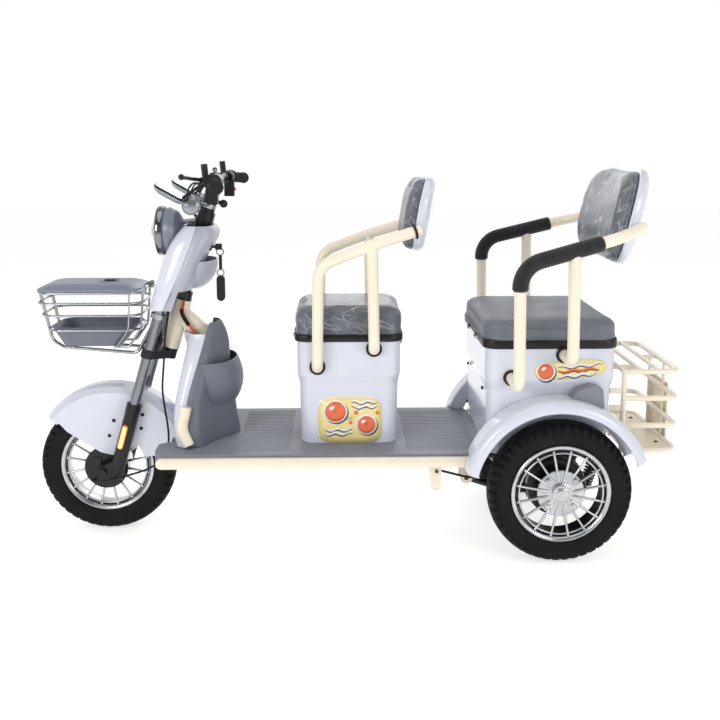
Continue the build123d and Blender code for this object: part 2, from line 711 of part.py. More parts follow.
fender_start = 168
fender_sweep = 148
with BuildPart() as rear_fenders:
    for side in (-1, 1):
        local = Plane(origin=(fender_x, 0, fender_z), x_dir=(0, 1, 0),
                      z_dir=(sin(radians(fender_start)), 0, -cos(radians(fender_start))))
        with BuildSketch(local) as section:
            with BuildLine():
                outer = [(side * y, r) for y, r in fender_profile(fender_radius)]
                inner = [(outer[0][0] + side * fender_wall, outer[0][1]),
                         (outer[1][0] + side * fender_wall, outer[1][1] - fender_wall),
                         (outer[2][0] - side, outer[2][1] - fender_wall),
                         (outer[3][0] - side * 2.5, outer[3][1] - 2.5),
                         (outer[4][0] - side * fender_wall, outer[4][1])]
                Polyline(*outer, *reversed(inner), close=True)
            make_face()
        revolve(section.sketch, axis=Axis((fender_x, 0, fender_z), (0, 1, 0)), revolution_arc=fender_sweep)
        # corner left out for the deck and its tube
        with Locations((deck_rear + 8 - 100, side * (side_tube_y + tube_diameter / 2 + 3 - 100), deck_z + 6 - 100)):
            Box(200, 200, 200, mode=Mode.SUBTRACT)
save(rear_fenders, "rear_fenders")

lamp_x = rear_axle_x + 60
with BuildPart() as fender_lamps:
    for side in (-1, 1):
        with BuildSketch(Plane(origin=(lamp_x, side * 249, fender_z), x_dir=(1, 0, 0), z_dir=(0, -1, 0))) as pod:
            Polygon((-44, 240), (-44, 250), (-14, 284), (24, 296), (52, 286), (58, 232), align=None)
        extrude(pod.sketch, amount=21, both=True)
    with BuildSketch(Plane(origin=(fender_x, 0, fender_z), x_dir=(1, 0, 0), z_dir=(0, -1, 0))) as crown:
        Circle(fender_radius + seat_gap)
    extrude(crown.sketch, amount=400, both=True, mode=Mode.SUBTRACT)
save(fender_lamps, "fender_lamps")

# Rear axle: a motor housing in the middle, axle tubes and the wheels' stubs.
motor_radius = 68
plate_y = track / 2 - (24 + rear_drum_depth) - running_gap
with BuildPart() as rear_axle:
    round_bar((rear_axle_x, -62, axle_z), (rear_axle_x, 62, axle_z), 2 * motor_radius)
    round_bar((rear_axle_x, -plate_y + 4, axle_z), (rear_axle_x, plate_y - 4, axle_z), 44)
    round_bar((rear_axle_x, -track / 2 - 28, axle_z), (rear_axle_x, track / 2 + 28, axle_z), rear_stub)
save(rear_axle, "rear_axle")

arm_diameter = 28
arm_seat_z = axle_z - 22 - seat_gap - arm_diameter / 2
with BuildPart() as swing_arm:
    round_bar((pivot_x, -arm_y - 24, pivot_z), (pivot_x, arm_y + 24, pivot_z), 12)
    for side in (-1, 1):
        eye = arm_y - lug_gap + seat_gap
        far_eye = arm_y + lug_gap - seat_gap
        round_bar((pivot_x, side * eye, pivot_z), (pivot_x, side * far_eye, pivot_z), 30)
        tube(flip([(pivot_x + 4, arm_y, pivot_z - 1), (pivot_x + 120, arm_y, arm_seat_z),
                   (shock_x - 60, arm_y, arm_seat_z)], side), [120], arm_diameter)
        bar((shock_x - 72, side * (arm_y - 9), arm_seat_z - 12), (shock_x - 40, side * (arm_y + 9), arm_seat_z + 12))
        bar((rear_axle_x - 26, side * (arm_y - 12), arm_seat_z - 4),
            (rear_axle_x + 26, side * (arm_y + 12), arm_seat_z + arm_diameter / 2))
    bar((rear_axle_x - 90, -arm_y, arm_seat_z - 10), (rear_axle_x - 70, arm_y, arm_seat_z + 10))
save(swing_arm, "swing_arm")

# Shock absorbers from the swing arm's ends up to the frame.
with BuildPart() as rear_shocks:
    for side in (-1, 1):
        low = Vector(shock_x - 40 + 10.3, side * arm_y, arm_seat_z)
        high = Vector(shock_x, side * arm_y, frame_bottom - 10)
        run = (high - low).normalized()
        round_bar((low.X, low.Y - 9, low.Z), (low.X, low.Y + 9, low.Z), 20)
        round_bar((high.X, high.Y - 9, high.Z), (high.X, high.Y + 9, high.Z), 20)
        round_bar(tuple(low), tuple(high), 14)
        round_bar(tuple(low + run * 14), tuple(high - run * 14), 40)
save(rear_shocks, "rear_shocks")

with BuildPart() as rear_brakes:
    for side in (-1, 1):
        inner_face = side * (plate_y - 3.5)
        round_bar((rear_axle_x, inner_face, axle_z), (rear_axle_x, side * plate_y, axle_z), 2 * rear_drum_radius + 6)
        bar((rear_axle_x - 70, inner_face - side * 2, axle_z + 10),
            (rear_axle_x - 52, inner_face - side * 10, axle_z + 66))
        bar((rear_axle_x - 68, inner_face, axle_z + 48), (rear_axle_x - 54, inner_face - side * 8, axle_z + 62))
        round_bar((rear_axle_x, inner_face - side * 12, axle_z), (rear_axle_x, side * (plate_y + 1), axle_z),
                  rear_stub + 2 * seat_gap, mode=Mode.SUBTRACT)
    # foot brake: a rod from the crank on its hanger back to the left drum's arm
    tube([(crank_x + 4, -190, crank_z), (crank_x + 130, -190, crank_z - 34),
          (rear_axle_x - 63, -plate_y + 18, axle_z + 56)], [200], 7)
    round_bar((rear_axle_x - 61, -plate_y + 8, axle_z + 55), (rear_axle_x - 61, -plate_y + 22, axle_z + 55), 8)
    round_bar((crank_x, -209.4, crank_z), (crank_x, -186, crank_z), 8)
save(rear_brakes, "rear_brakes")

# ---- rear basket ----
basket_front = rear_box_x + rear_box_length / 2 + 34
basket_tube = 16
basket_half = 188
basket_rear = vehicle_rear - 10 - basket_tube / 2
basket_levels = [-9, 65, 145, 223]     # tube centres from the deck top upwards
rack_bars = 3
board_x = basket_rear + basket_tube / 2 + 3
board_top = 160               # above the deck
plate_bolts = 100
with BuildPart() as rear_basket:
    for level in basket_levels:
        tube([(basket_front, -basket_half, deck_z + level), (basket_rear, -basket_half, deck_z + level),
              (basket_rear, basket_half, deck_z + level), (basket_front, basket_half, deck_z + level)],
             [34, 34], basket_tube)
    for side in (-1, 1):
        round_bar((basket_front, side * basket_half, deck_z + basket_levels[0]),
                  (basket_front, side * basket_half, deck_z + basket_levels[-1]), basket_tube)
        for up in (basket_levels[0], basket_levels[-1]):
            with Locations((basket_front, side * basket_half, deck_z + up)):
                Sphere(basket_tube / 2)
        for level in (36, 110, 160):
            bar((rear_box_x + rear_box_length / 2 - 6.7, side * (basket_half - 3), deck_z + level),
                (basket_front, side * (basket_half + 3), deck_z + level + 16))
        round_bar((basket_rear, side * 62, deck_z + basket_levels[0]),
                  (basket_rear, side * 62, deck_z + basket_levels[-1]), 10)
    for step in range(rack_bars):
        x = basket_front + (basket_rear - basket_front) * step / rack_bars
        round_bar((x, -basket_half, deck_z + basket_levels[-1]), (x, basket_half, deck_z + basket_levels[-1]),
                  basket_tube - 2)
    round_bar((basket_front + (basket_rear - basket_front) * (rack_bars - 1) / rack_bars, 0,
               deck_z + basket_levels[-1]), (basket_rear, 0, deck_z + basket_levels[-1]), 12)
    # blank plate board behind the loops, with two bolt holes
    bar((board_x - 4, -80, deck_z + basket_levels[0] - 6), (board_x, 80, deck_z + board_top))
    with BuildSketch(Plane(origin=(board_x, 0, deck_z + 60), x_dir=(0, 1, 0), z_dir=(1, 0, 0))) as holes:
        with GridLocations(plate_bolts, 10, 2, 1):
            Circle(3.3)
    extrude(holes.sketch, amount=30, both=True, mode=Mode.SUBTRACT)
save(rear_basket, "rear_basket")

floor_bolt_x = 90
floor_bolt_y = 240
floor_length = basket_rear - basket_front - basket_tube - 2 * seat_gap
floor_width = 2 * basket_half - basket_tube - 2 * seat_gap
with BuildPart() as basket_floor:
    with BuildSketch(Plane.XY.offset(deck_z + basket_levels[0] - 2)):
        with Locations(((basket_front + basket_rear) / 2, 0)):
            RectangleRounded(floor_length, floor_width, 27)
            with GridLocations(floor_bolt_x, floor_bolt_y, 2, 2):
                Circle(3.3, mode=Mode.SUBTRACT)
    extrude(amount=4)
save(basket_floor, "basket_floor")

tail_lamp_z = deck_z + board_top - 20
with BuildPart() as tail_lamp:
    bar((board_x + seat_gap, -52, tail_lamp_z - 16), (vehicle_rear - 2, 52, tail_lamp_z + 16))
    fillet(tail_lamp.edges().filter_by(Axis.X), 10)
    bar((vehicle_rear - 2, -44, tail_lamp_z - 10), (vehicle_rear, 44, tail_lamp_z + 10))
save(tail_lamp, "tail_lamp")

# ---- fork and steering ----
lean = radians(rake)


def steer(along, ahead=0, y=0):
    # point given along the steering axis from the head tube's bottom, and square ahead of it
    return (head_x + along * sin(lean) - ahead * cos(lean), y, head_z + along * cos(lean) + ahead * sin(lean))


leg_y = fork_spacing / 2
clamp_low = -32
clamp_top = -6
upper_clamp = head_tube_length + 8
upper_clamp_top = upper_clamp + 18
fork_tube_diameter = 30
leg_diameter = 42
leg_top = -178
leg_bottom = -414
stem_top = 496
bar_z = head_z + 492
bar_x = axis_x(bar_z)


def clamp_plate(low, high):
    # plate across the steerer and both fork tubes; in this plane y runs forward
    with BuildSketch(Plane(origin=steer(low), x_dir=(0, 1, 0), z_dir=steering_axis)) as plate:
        Circle(22)
        Polygon((-leg_y, fork_offset + 20), (leg_y, fork_offset + 20), (leg_y, fork_offset - 20), (22, -4),
                (-22, -4), (-leg_y, fork_offset - 20), align=None)
        with Locations((-leg_y, fork_offset), (leg_y, fork_offset)):
            Circle(18.5)
            Circle(fork_tube_diameter / 2 + seat_gap, mode=Mode.SUBTRACT)
    extrude(plate.sketch, amount=high - low)


with BuildPart() as steering_stem:
    clamp_plate(clamp_low, clamp_top)
    round_bar(steer(clamp_low), steer(stem_top), steerer_diameter)
    round_bar(steer(clamp_top - 1), steer(-seat_gap), 46)
    clamp_plate(upper_clamp, upper_clamp_top)
    round_bar(steer(head_tube_length + seat_gap), steer(upper_clamp + 1), 46)
save(steering_stem, "steering_stem")

with BuildPart() as fork_tubes:
    for side in (-1, 1):
        round_bar(steer(leg_top - 60, fork_offset, side * leg_y), steer(upper_clamp_top, fork_offset, side * leg_y),
                  fork_tube_diameter)
save(fork_tubes, "fork_tubes")

fender_half = 55
fender_skin = 3
with BuildPart() as fork_legs:
    for side in (-1, 1):
        start = steer(leg_bottom, fork_offset, side * leg_y)
        round_bar(start, steer(leg_top, fork_offset, side * leg_y), leg_diameter)
        round_bar(steer(leg_top - 26, fork_offset, side * leg_y), steer(leg_top, fork_offset, side * leg_y), leg_diameter + 2)
        # lug reaching forward to the axle
        with BuildSketch(Plane(origin=(front_axle_x, side * leg_y, axle_z), x_dir=(1, 0, 0),
                               z_dir=(0, -1, 0))) as lug:
            Circle(18)
            Polygon((0, 18), (leg_x(axle_z + 40) - front_axle_x, 40), (leg_x(axle_z - 20) - front_axle_x, -20),
                    (0, -18), align=None)
        extrude(lug.sketch, amount=leg_diameter / 2 - 3, both=True)
        # tab that the mudguard is screwed to
        bar((leg_x(axle_z + 142) - 15, side * (fender_half + seat_gap), axle_z + 128),
            (leg_x(axle_z + 142) + 15, side * (leg_y - leg_diameter / 2 + 6), axle_z + 156))
        round_bar(steer(leg_top - 61, fork_offset, side * leg_y), steer(leg_top + 1, fork_offset, side * leg_y),
                  fork_tube_diameter + 2 * seat_gap, mode=Mode.SUBTRACT)
    round_bar((front_axle_x, -leg_y - 30, axle_z), (front_axle_x, leg_y + 30, axle_z), hub_bore + 2 * axle_gap,
              mode=Mode.SUBTRACT)
save(fork_legs, "fork_legs")

brake_arm = [(-34, 32), (-14, 32), (-14, 8), (-36, -44), (-48, -38), (-30, 6)]
with BuildPart() as front_axle:
    # axle with its nuts, and the brake's fixed plate and arm on the left
    reach = leg_y + leg_diameter / 2 + 4
    round_bar((front_axle_x, -reach, axle_z), (front_axle_x, reach, axle_z), hub_bore)
    for side in (-1, 1):
        nut_y = side * (leg_y + leg_diameter / 2 - 3 + seat_gap)
        round_bar((front_axle_x, nut_y, axle_z), (front_axle_x, nut_y + side * 9, axle_z), 24)
    plate_in = front_hub_half + running_gap
    round_bar((front_axle_x, -plate_in, axle_z), (front_axle_x, -plate_in - 6, axle_z), 2 * drum_radius + 6)
    with BuildSketch(Plane(origin=(front_axle_x, -plate_in - 5, axle_z), x_dir=(1, 0, 0), z_dir=(0, -1, 0))) as arm:
        Polygon(*brake_arm, align=None)
    extrude(arm.sketch, amount=6)
save(front_axle, "front_axle")

# ---- front mudguard ----
guard_x = front_axle_x + 20
guard_z = axle_z + 9.5
guard_radius = tyre_diameter / 2 + 40.5
with BuildPart() as front_fender:
    start = 142
    start_plane = Plane(origin=(guard_x, 0, guard_z), x_dir=(0, 1, 0),
                        z_dir=(sin(radians(start)), 0, -cos(radians(start))))
    with BuildSketch(start_plane) as section:
        with BuildLine():
            crown = guard_radius
            skirt, fall = crown - 40, crown - 22
            edge = fender_half
            skin = fender_skin
            Polyline((-edge, skirt), (-edge, fall), (-edge + 14, crown - 5), (-18, crown), (18, crown),
                     (edge - 14, crown - 5), (edge, fall), (edge, skirt), (edge - skin, skirt),
                     (edge - skin, fall + 1), (edge - 15, crown - 5 - skin), (18, crown - skin),
                     (-18, crown - skin), (-edge + 15, crown - 5 - skin), (-edge + skin, fall + 1),
                     (-edge + skin, skirt), close=True)
        make_face()
    revolve(section.sketch, axis=Axis((guard_x, 0, guard_z), (0, 1, 0)), revolution_arc=118)
    for side in (-1, 1):
        with BuildSketch(Plane(origin=(guard_x, side * (fender_half - fender_skin / 2), guard_z), x_dir=(1, 0, 0),
                               z_dir=(0, -1, 0))) as panel:
            Circle(guard_radius - 20)
            Polygon((-300, 300), (-300, 190), (-150, 126), (-130, 103), (-32, 39), (9, 29), (32, 31), (54, 50),
                    (80, 60), (97, 26), (174, 28), (182, 88), (300, 100), (300, 300), align=None,
                    mode=Mode.INTERSECT)
        extrude(panel.sketch, amount=fender_skin / 2, both=True)
save(front_fender, "front_fender")

# ---- front fairing, which turns with the fork ----
# height above the head tube's bottom; split, front and rear x from the axis; half width
fairing_slices = [
    (125, -39, -86, 10, 99),
    (167, -32, -87, 16, 105),
    (227, -22, -85, 31, 105),
    (287, -14, -83, 38, 97),
    (337, -11, -70, 50, 84),
    (365, -12, -54, 30, 68),
]
lamp_z = head_z + 347
lamp_ring_x = front_axle_x + 183
lamp_radius = 70


def bowl_profile(grow):
    # half outline of the headlamp's bowl: x from the ring, then radius
    return [(8, 0), (8, lamp_radius - 5 + grow), (26, lamp_radius - 1 + grow), (46, lamp_radius - 12 + grow),
            (61, lamp_radius - 34 + grow), (67 + grow, 0)]


def revolve_lamp(profile, mode=Mode.ADD):
    lamp_plane = Plane(origin=(lamp_ring_x, 0, lamp_z), x_dir=(1, 0, 0), z_dir=(0, -1, 0))
    with BuildSketch(lamp_plane) as half:
        Polygon(*profile, align=None)
    revolve(half.sketch, axis=Axis((lamp_ring_x, 0, lamp_z), (1, 0, 0)), mode=mode)


with BuildPart() as front_fairing:
    slices = []
    for up, split, front, rear, half in fairing_slices:
        middle = axis_x(head_z + up)
        rim = [(middle + split, half), (middle + (split + front) / 2, half * 0.985),
               (middle + front + 10, half * 0.84), (middle + front + 2, half * 0.5), (middle + front, 0)]
        slices.append(shell_section(head_z + up, rim, shell_wall))
    loft(sections=slices)
    revolve_lamp(bowl_profile(2), mode=Mode.SUBTRACT)
save(front_fairing, "front_fairing")

rear_shell_foot = 180
key_z = head_z + 303
key_y = -30
key_x = axis_x(key_z) + 40     # middle of the key switch
key_switch = 22
with BuildPart() as rear_fairing:
    slices = []
    upper_slices = [(rear_shell_foot, -30, -87, 21, 103)] + fairing_slices[2:]
    for up, split, front, rear, half in upper_slices:
        middle = axis_x(head_z + up)
        rim = [(middle + split + 3 * seat_gap, half), (middle + (split + rear) / 2 + 5, half * 0.96),
               (middle + rear - 4, half * 0.66), (middle + rear, half * 0.3), (middle + rear + 1, 0)]
        slices.append(shell_section(head_z + up, rim, shell_wall))
    loft(sections=slices)
    # top plate with a hole for the stem
    top_up, top_split, top_front, top_rear, top_half = fairing_slices[-1]
    with BuildSketch(Plane.XY.offset(head_z + top_up - 3)) as top_plate:
        with Locations((axis_x(head_z + top_up) + (top_front + top_rear) / 2 - 2, 0)):
            Ellipse((top_rear - top_front) / 2 - 9, top_half - 13)
        with Locations((axis_x(head_z + top_up), 0)):
            Circle(32, mode=Mode.SUBTRACT)
    # side flanks beside the fork tubes
    for side in (-1, 1):
        with BuildSketch(Plane.XY.offset(head_z + rear_shell_foot + 2)) as high:
            middle = axis_x(head_z + rear_shell_foot + 2)
            with Locations((middle - 18.5, side * 99)):
                Rectangle(19, 4)
        with BuildSketch(Plane.XY.offset(head_z + 124)) as low:
            middle = axis_x(head_z + 124)
            with Locations((middle - 26.4, side * 96)):
                Rectangle(23, 4)
        loft(sections=[low.sketch, high.sketch])
    round_bar((key_x - 30, key_y, key_z), (key_x + 20, key_y, key_z), key_switch + 2 * seat_gap,
              mode=Mode.SUBTRACT)
save(rear_fairing, "rear_fairing")

# height above the head tube's bottom; rear x from the axis; half width
glove_slices = [(182, 46, 60), (201, 65, 76), (226, 73, 86), (264, 67, 92)]


def glove_face(up, reach, half, inset):
    middle = axis_x(head_z + up)
    front = middle - 10
    rear = middle + reach - inset
    side = half - inset
    with BuildSketch(Plane.XY.offset(head_z + up)) as face:
        with BuildLine():
            Line((front, -side), (front, side))
            Spline((front, side), (front + (rear - front) * 0.7, side * 0.72), (rear, 0),
                   (front + (rear - front) * 0.7, -side * 0.72), (front, -side))
        make_face()
    return face.sketch


with BuildPart() as glove_pocket:
    loft(sections=[glove_face(*piece, 0) for piece in glove_slices])
    inner_slices = [(up + (pocket_wall if up == glove_slices[0][0] else 0), reach, half)
                    for up, reach, half in glove_slices]
    inner_slices[-1] = (inner_slices[-1][0] + 0.01, inner_slices[-1][1], inner_slices[-1][2])
    loft(sections=[glove_face(*piece, pocket_wall) for piece in inner_slices], mode=Mode.SUBTRACT)
    keep_out = []
    for up, split, front, rear, half in upper_slices:
        middle = axis_x(head_z + up)
        gap = 2 * seat_gap
        rim = [(middle + split + gap, half + seat_gap),
               (middle + (split + rear) / 2 + 5 + gap, half * 0.96 + seat_gap),
               (middle + rear - 4 + gap, half * 0.66), (middle + rear + gap, half * 0.3),
               (middle + rear + 1 + gap, 0)]
        with BuildSketch(Plane.XY.offset(head_z + up)) as slice_face:
            with BuildLine():
                Spline(*([(x, -y) for x, y in rim] + [(x, y) for x, y in reversed(rim[:-1])]))
                Line((rim[0][0], rim[0][1]), (middle - 120, rim[0][1]))
                Line((middle - 120, rim[0][1]), (middle - 120, -rim[0][1]))
                Line((middle - 120, -rim[0][1]), (rim[0][0], -rim[0][1]))
            make_face()
        keep_out.append(slice_face.sketch)
    loft(sections=keep_out, mode=Mode.SUBTRACT)
save(glove_pocket, "glove_pocket")

with BuildPart() as headlamp_bowl:
    revolve_lamp(bowl_profile(0))
    revolve_lamp([(-9, 0), (-9, lamp_radius - 3), (0, lamp_radius + 1), (9, lamp_radius + 1), (9, 0)])
    revolve_lamp([(-10, 0), (-10, lamp_radius - 8), (26, lamp_radius - 6), (44, lamp_radius - 15),
                  (58, lamp_radius - 37), (63, 0)], mode=Mode.SUBTRACT)
save(headlamp_bowl, "headlamp_bowl")

with BuildPart() as headlamp_lens:
    lens_edge = lamp_radius - 8 - seat_gap
    revolve_lamp([(6, 0), (6, lens_edge), (-6, lens_edge), (-16, lens_edge - 14), (-27, lens_edge - 40), (-32, 0)])
save(headlamp_lens, "headlamp_lens")

# ---- stem, handlebar and controls ----
collar_low = 370
collar_high = 420
bar_run = [(bar_x + 47, -handlebar_width / 2, bar_z - 3), (bar_x + 3, -150, bar_z + 8), (bar_x, -58, bar_z),
           (bar_x, 58, bar_z), (bar_x + 3, 150, bar_z + 8), (bar_x + 47, handlebar_width / 2, bar_z - 3)]
bar_bends = [140, 200, 200, 140]
with BuildPart() as handlebar:
    tube(bar_run, bar_bends, handlebar_diameter)
save(handlebar, "handlebar")

with BuildPart() as bar_stem:
    # collar and sleeve round the steerer, the bar's clamp on top and the clamp's knob behind
    round_bar(steer(collar_low), steer(collar_high), 50)
    round_bar(steer(collar_high), steer(stem_top - 4), 42)
    round_bar((bar_x, -34, bar_z), (bar_x, 34, bar_z), 42)
    round_bar(steer(stem_top - 20), (bar_x, 0, bar_z), 44)
    for y in (-20, 20):
        round_bar((bar_x - 6, y, bar_z + 10), (bar_x - 10, y, bar_z + 24), 10)
    round_bar(steer(456, -17), steer(456, -38), 12)
    with Locations(steer(456, -40)):
        Sphere(12)
    round_bar((bar_x, -40, bar_z), (bar_x, 40, bar_z), handlebar_diameter + 2 * seat_gap, mode=Mode.SUBTRACT)
    round_bar(steer(collar_low - 1), steer(stem_top + 0.5), steerer_diameter + 2 * seat_gap, mode=Mode.SUBTRACT)
save(bar_stem, "bar_stem")

grip_length = 118


def bar_point(side, y):
    # point on the handlebar's outer run at a distance from the middle
    inner = Vector(bar_x + 3, 150, bar_z + 8)
    outer = Vector(bar_x + 47, handlebar_width / 2, bar_z - 3)
    t = (y - inner.Y) / (outer.Y - inner.Y)
    point = inner + (outer - inner) * t
    return (point.X, side * point.Y, point.Z)


with BuildPart() as hand_grips:
    for side in (-1, 1):
        half_bar = handlebar_width / 2
        inner = bar_point(side, half_bar - grip_length)
        outer = bar_point(side, half_bar + 4)
        round_bar(inner, outer, 33)
        round_bar(bar_point(side, half_bar - grip_length), bar_point(side, half_bar - grip_length + 5), 46)
        round_bar(bar_point(side, half_bar - 2), bar_point(side, half_bar + 4), 38)
        round_bar(bar_point(side, half_bar - grip_length - 5), bar_point(side, half_bar + 0.5),
                  handlebar_diameter + 2 * seat_gap, mode=Mode.SUBTRACT)
save(hand_grips, "hand_grips")

perch_y = 197
perch_half = 14
mirror_bore = 8
with BuildPart() as bar_controls:
    # each side: a housing round the bar with the switches below, a brake lever and a mirror boss
    for side in (-1, 1):
        x, y, z = bar_point(side, perch_y)
        near, far = bar_point(side, perch_y - perch_half), bar_point(side, perch_y + perch_half)
        round_bar(near, far, 38)
        bar((x - 12, y - 14, z - 60), (x + 18, y + 14, z - 8))
        bar((x - 30, y - 10, z - 3), (x, y + 10, z + 12))
        round_bar((x - 14, y, z + 8), (x - 18, y, z + 48), 18)
        tube([(x - 24, y, z + 5), (x - 46, y + side * 40, z + 10), (bar_x - 44, side * 323, bar_z + 23)], [50], 10)
        with Locations((bar_x - 44, side * 325, bar_z + 23)):
            Sphere(8)
        round_bar((x - 15.5, y, z + 23), (x - 18.1, y, z + 49), mirror_bore, mode=Mode.SUBTRACT)
        round_bar(bar_point(side, perch_y - 20), bar_point(side, perch_y + 20), handlebar_diameter + 2 * seat_gap,
                  mode=Mode.SUBTRACT)
save(bar_controls, "bar_controls")

# Bracket ahead of the stem for the headlamp, the turn signals and the mirrors.
signal_x = bar_x - 58
signal_z = bar_z - 66
signal_y = 92
with BuildPart() as turn_signals:
    round_bar(steer(398), (lamp_ring_x + 62, 0, lamp_z + 26), 14)
    round_bar(steer(420), (signal_x + 4, 0, signal_z - 8), 16)
    round_bar((signal_x, -signal_y, signal_z), (signal_x, signal_y, signal_z), 12)
    round_bar((signal_x + 4, 0, signal_z - 10), (signal_x, 0, signal_z + 4), 16)
    round_bar(steer(360), steer(440), 50 + 2 * seat_gap, mode=Mode.SUBTRACT)
    revolve_lamp(bowl_profile(seat_gap), mode=Mode.SUBTRACT)
    for side in (-1, 1):
        with BuildSketch(Plane(origin=(signal_x, side * (signal_y - 24), signal_z), x_dir=(1, 0, 0),
                               z_dir=(0, side, 0))) as body:
            Circle(17)
        with BuildSketch(Plane(origin=(signal_x, side * (signal_y + 8), signal_z), x_dir=(1, 0, 0),
                               z_dir=(0, side, 0))) as face:
            Circle(24)
        loft(sections=[body.sketch, face.sketch])
save(turn_signals, "turn_signals")

# Mirrors, folded forward with their glass looking up.
mirror_y = 136
mirror_tilt = 29
mirror_length = 100
with BuildPart() as mirrors:
    for side in (-1, 1):
        middle = (bar_x - 106, side * mirror_y, bar_z - 26)
        face_up = Plane(origin=middle, x_dir=(cos(radians(mirror_tilt)), 0, -sin(radians(mirror_tilt))),
                        z_dir=(sin(radians(mirror_tilt)), 0, cos(radians(mirror_tilt))))
        with BuildSketch(face_up) as glass_side:
            RectangleRounded(mirror_length, 66, 24)
        with BuildSketch(face_up.offset(-16)) as back_side:
            RectangleRounded(mirror_length - 30, 40, 18)
        loft(sections=[glass_side.sketch, back_side.sketch])
        # stalk from a ring on the bar
        round_bar((bar_x, side * 42, bar_z), (bar_x, side * 56, bar_z), 32)
        tube([(bar_x - 12, side * 49, bar_z - 2), (bar_x - 40, side * 66, bar_z - 14),
              (bar_x - 84, side * (mirror_y - 20), bar_z - 48)], [60], 9)
        round_bar((bar_x, side * 41, bar_z), (bar_x, side * 57, bar_z), handlebar_diameter + 2 * seat_gap,
                  mode=Mode.SUBTRACT)
save(mirrors, "mirrors")

# Key in its switch on the fairing's rear, with a ring, a tag and a remote hanging from it.
with BuildPart() as key_set:
    round_bar((key_x - 14, key_y, key_z), (key_x + 4, key_y, key_z), key_switch)
    bar((key_x + 3, key_y - 1.5, key_z - 4), (key_x + 20, key_y + 1.5, key_z + 4))
    bar((key_x + 14, key_y - 2, key_z - 9), (key_x + 34, key_y + 2, key_z + 9))
    for ring_z in (key_z - 15, key_z - 76):
        with Locations(Location((key_x + 28, key_y, ring_z), (90, 0, 0))):
            Torus(10, 1.4)
    bar((key_x + 24, key_y - 2, key_z - 68), (key_x + 33, key_y + 2, key_z - 24))
    with BuildSketch(Plane(origin=(key_x + 28, key_y, key_z - 122), x_dir=(1, 0, 0), z_dir=(0, -1, 0))) as fob:
        SlotOverall(76, 24, rotation=90)
    extrude(fob.sketch, amount=6, both=True)
save(key_set, "key_set")

# ---- front basket ----
wire = 7
support = 10
basket_mid_x = front_axle_x - 12
# height above the head tube's bottom, front x, rear x, half width
basket_loops = [(66, -134, 130, 88), (110, -150, 138, 92), (146, -158, 144, 97), (176.5, -156, 142, 100)]
tray_bottom = 14.3
tray_top = 74
tray_wall = 3
upright_y = 44
basket_hinge_x = basket_mid_x + 149
basket_hinge_z = head_z + 186


def basket_point(x, y, up):
    return (basket_mid_x + x, y, head_z + up)


with BuildPart() as basket_frame:
    for up, front, rear, half in basket_loops:
        with BuildLine() as loop:
            FilletPolyline(basket_point(front, -half, up), basket_point(rear, -half, up),
                           basket_point(rear, half, up), basket_point(front, half, up), radius=46, close=True)
        run = loop.wire()
        with BuildSketch(Plane(origin=run @ 0, z_dir=run % 0)) as ring:
            Circle(wire / 2)
        sweep(sections=ring.sketch, path=run)
    top_up, top_front, top_rear, top_half = basket_loops[-1]
    for side in (-1, 1):
        # upright down the front, under the tray and up at the back to the bracket on the fork tubes
        tube([basket_point(top_front, side * 50, top_up), basket_point(-128, side * 46, 30),
              basket_point(-96, side * upright_y, 9), basket_point(118, side * upright_y, -10),
              basket_point(150, side * upright_y, 46), basket_point(188, side * upright_y, 106)],
             [40, 20, 22, 60], support)
        tube([basket_point(top_rear, side * 52, top_up), basket_point(133, side * 52, 64),
              basket_point(96, side * 52, tray_bottom - wire / 2 - seat_gap),
              basket_point(50, side * 50, tray_bottom - wire / 2 - seat_gap)], [30, 16], wire)
        round_bar(steer(90, fork_offset, side * leg_y), steer(104, fork_offset, side * leg_y), 42)
    round_bar(steer(97, fork_offset, -leg_y), steer(97, fork_offset, leg_y), 12)
    for side in (-1, 1):
        round_bar(steer(80, fork_offset, side * leg_y), steer(114, fork_offset, side * leg_y),
                  fork_tube_diameter + 2 * seat_gap, mode=Mode.SUBTRACT)
        # pin and ears for the lid's hinge
        round_bar((basket_hinge_x, side * 53, basket_hinge_z), (basket_hinge_x, side * 67, basket_hinge_z), 5)
        for y in (53.2, 66.8):
            bar((basket_hinge_x - 8, side * (y - 1.2), basket_hinge_z - 16),
                (basket_hinge_x + 4, side * (y + 1.2), basket_hinge_z + 4))
    # a thin wire round the tray near its rear end, and a short one under its front
    floor_up = tray_bottom - 2.5 - seat_gap
    tube([basket_point(112, -97, top_up), basket_point(104, -86, 66), basket_point(60, -60, floor_up),
          basket_point(60, 60, floor_up), basket_point(104, 86, 66), basket_point(112, 97, top_up)],
         [60, 14, 14, 60], 5)
    round_bar(basket_point(-70, -upright_y - 3, floor_up), basket_point(-70, upright_y + 3, floor_up), 5)
save(basket_frame, "basket_frame")


def tray_face(up, front, rear, half, inset):
    with BuildSketch(Plane.XY.offset(head_z + up)) as face:
        with Locations((basket_mid_x + (front + rear) / 2, 0)):
            RectangleRounded(rear - front - 2 * inset, 2 * (half - inset), 36 - inset)
    return face.sketch


with BuildPart() as basket_tray:
    loft(sections=[tray_face(tray_bottom, -98, 72, 60, 0), tray_face(tray_top, -126, 122, 82, 0)])
    loft(sections=[tray_face(tray_bottom + tray_wall, -98, 72, 60, tray_wall),
                   tray_face(tray_top + 0.01, -126, 122, 82, tray_wall)], mode=Mode.SUBTRACT)
save(basket_tray, "basket_tray")

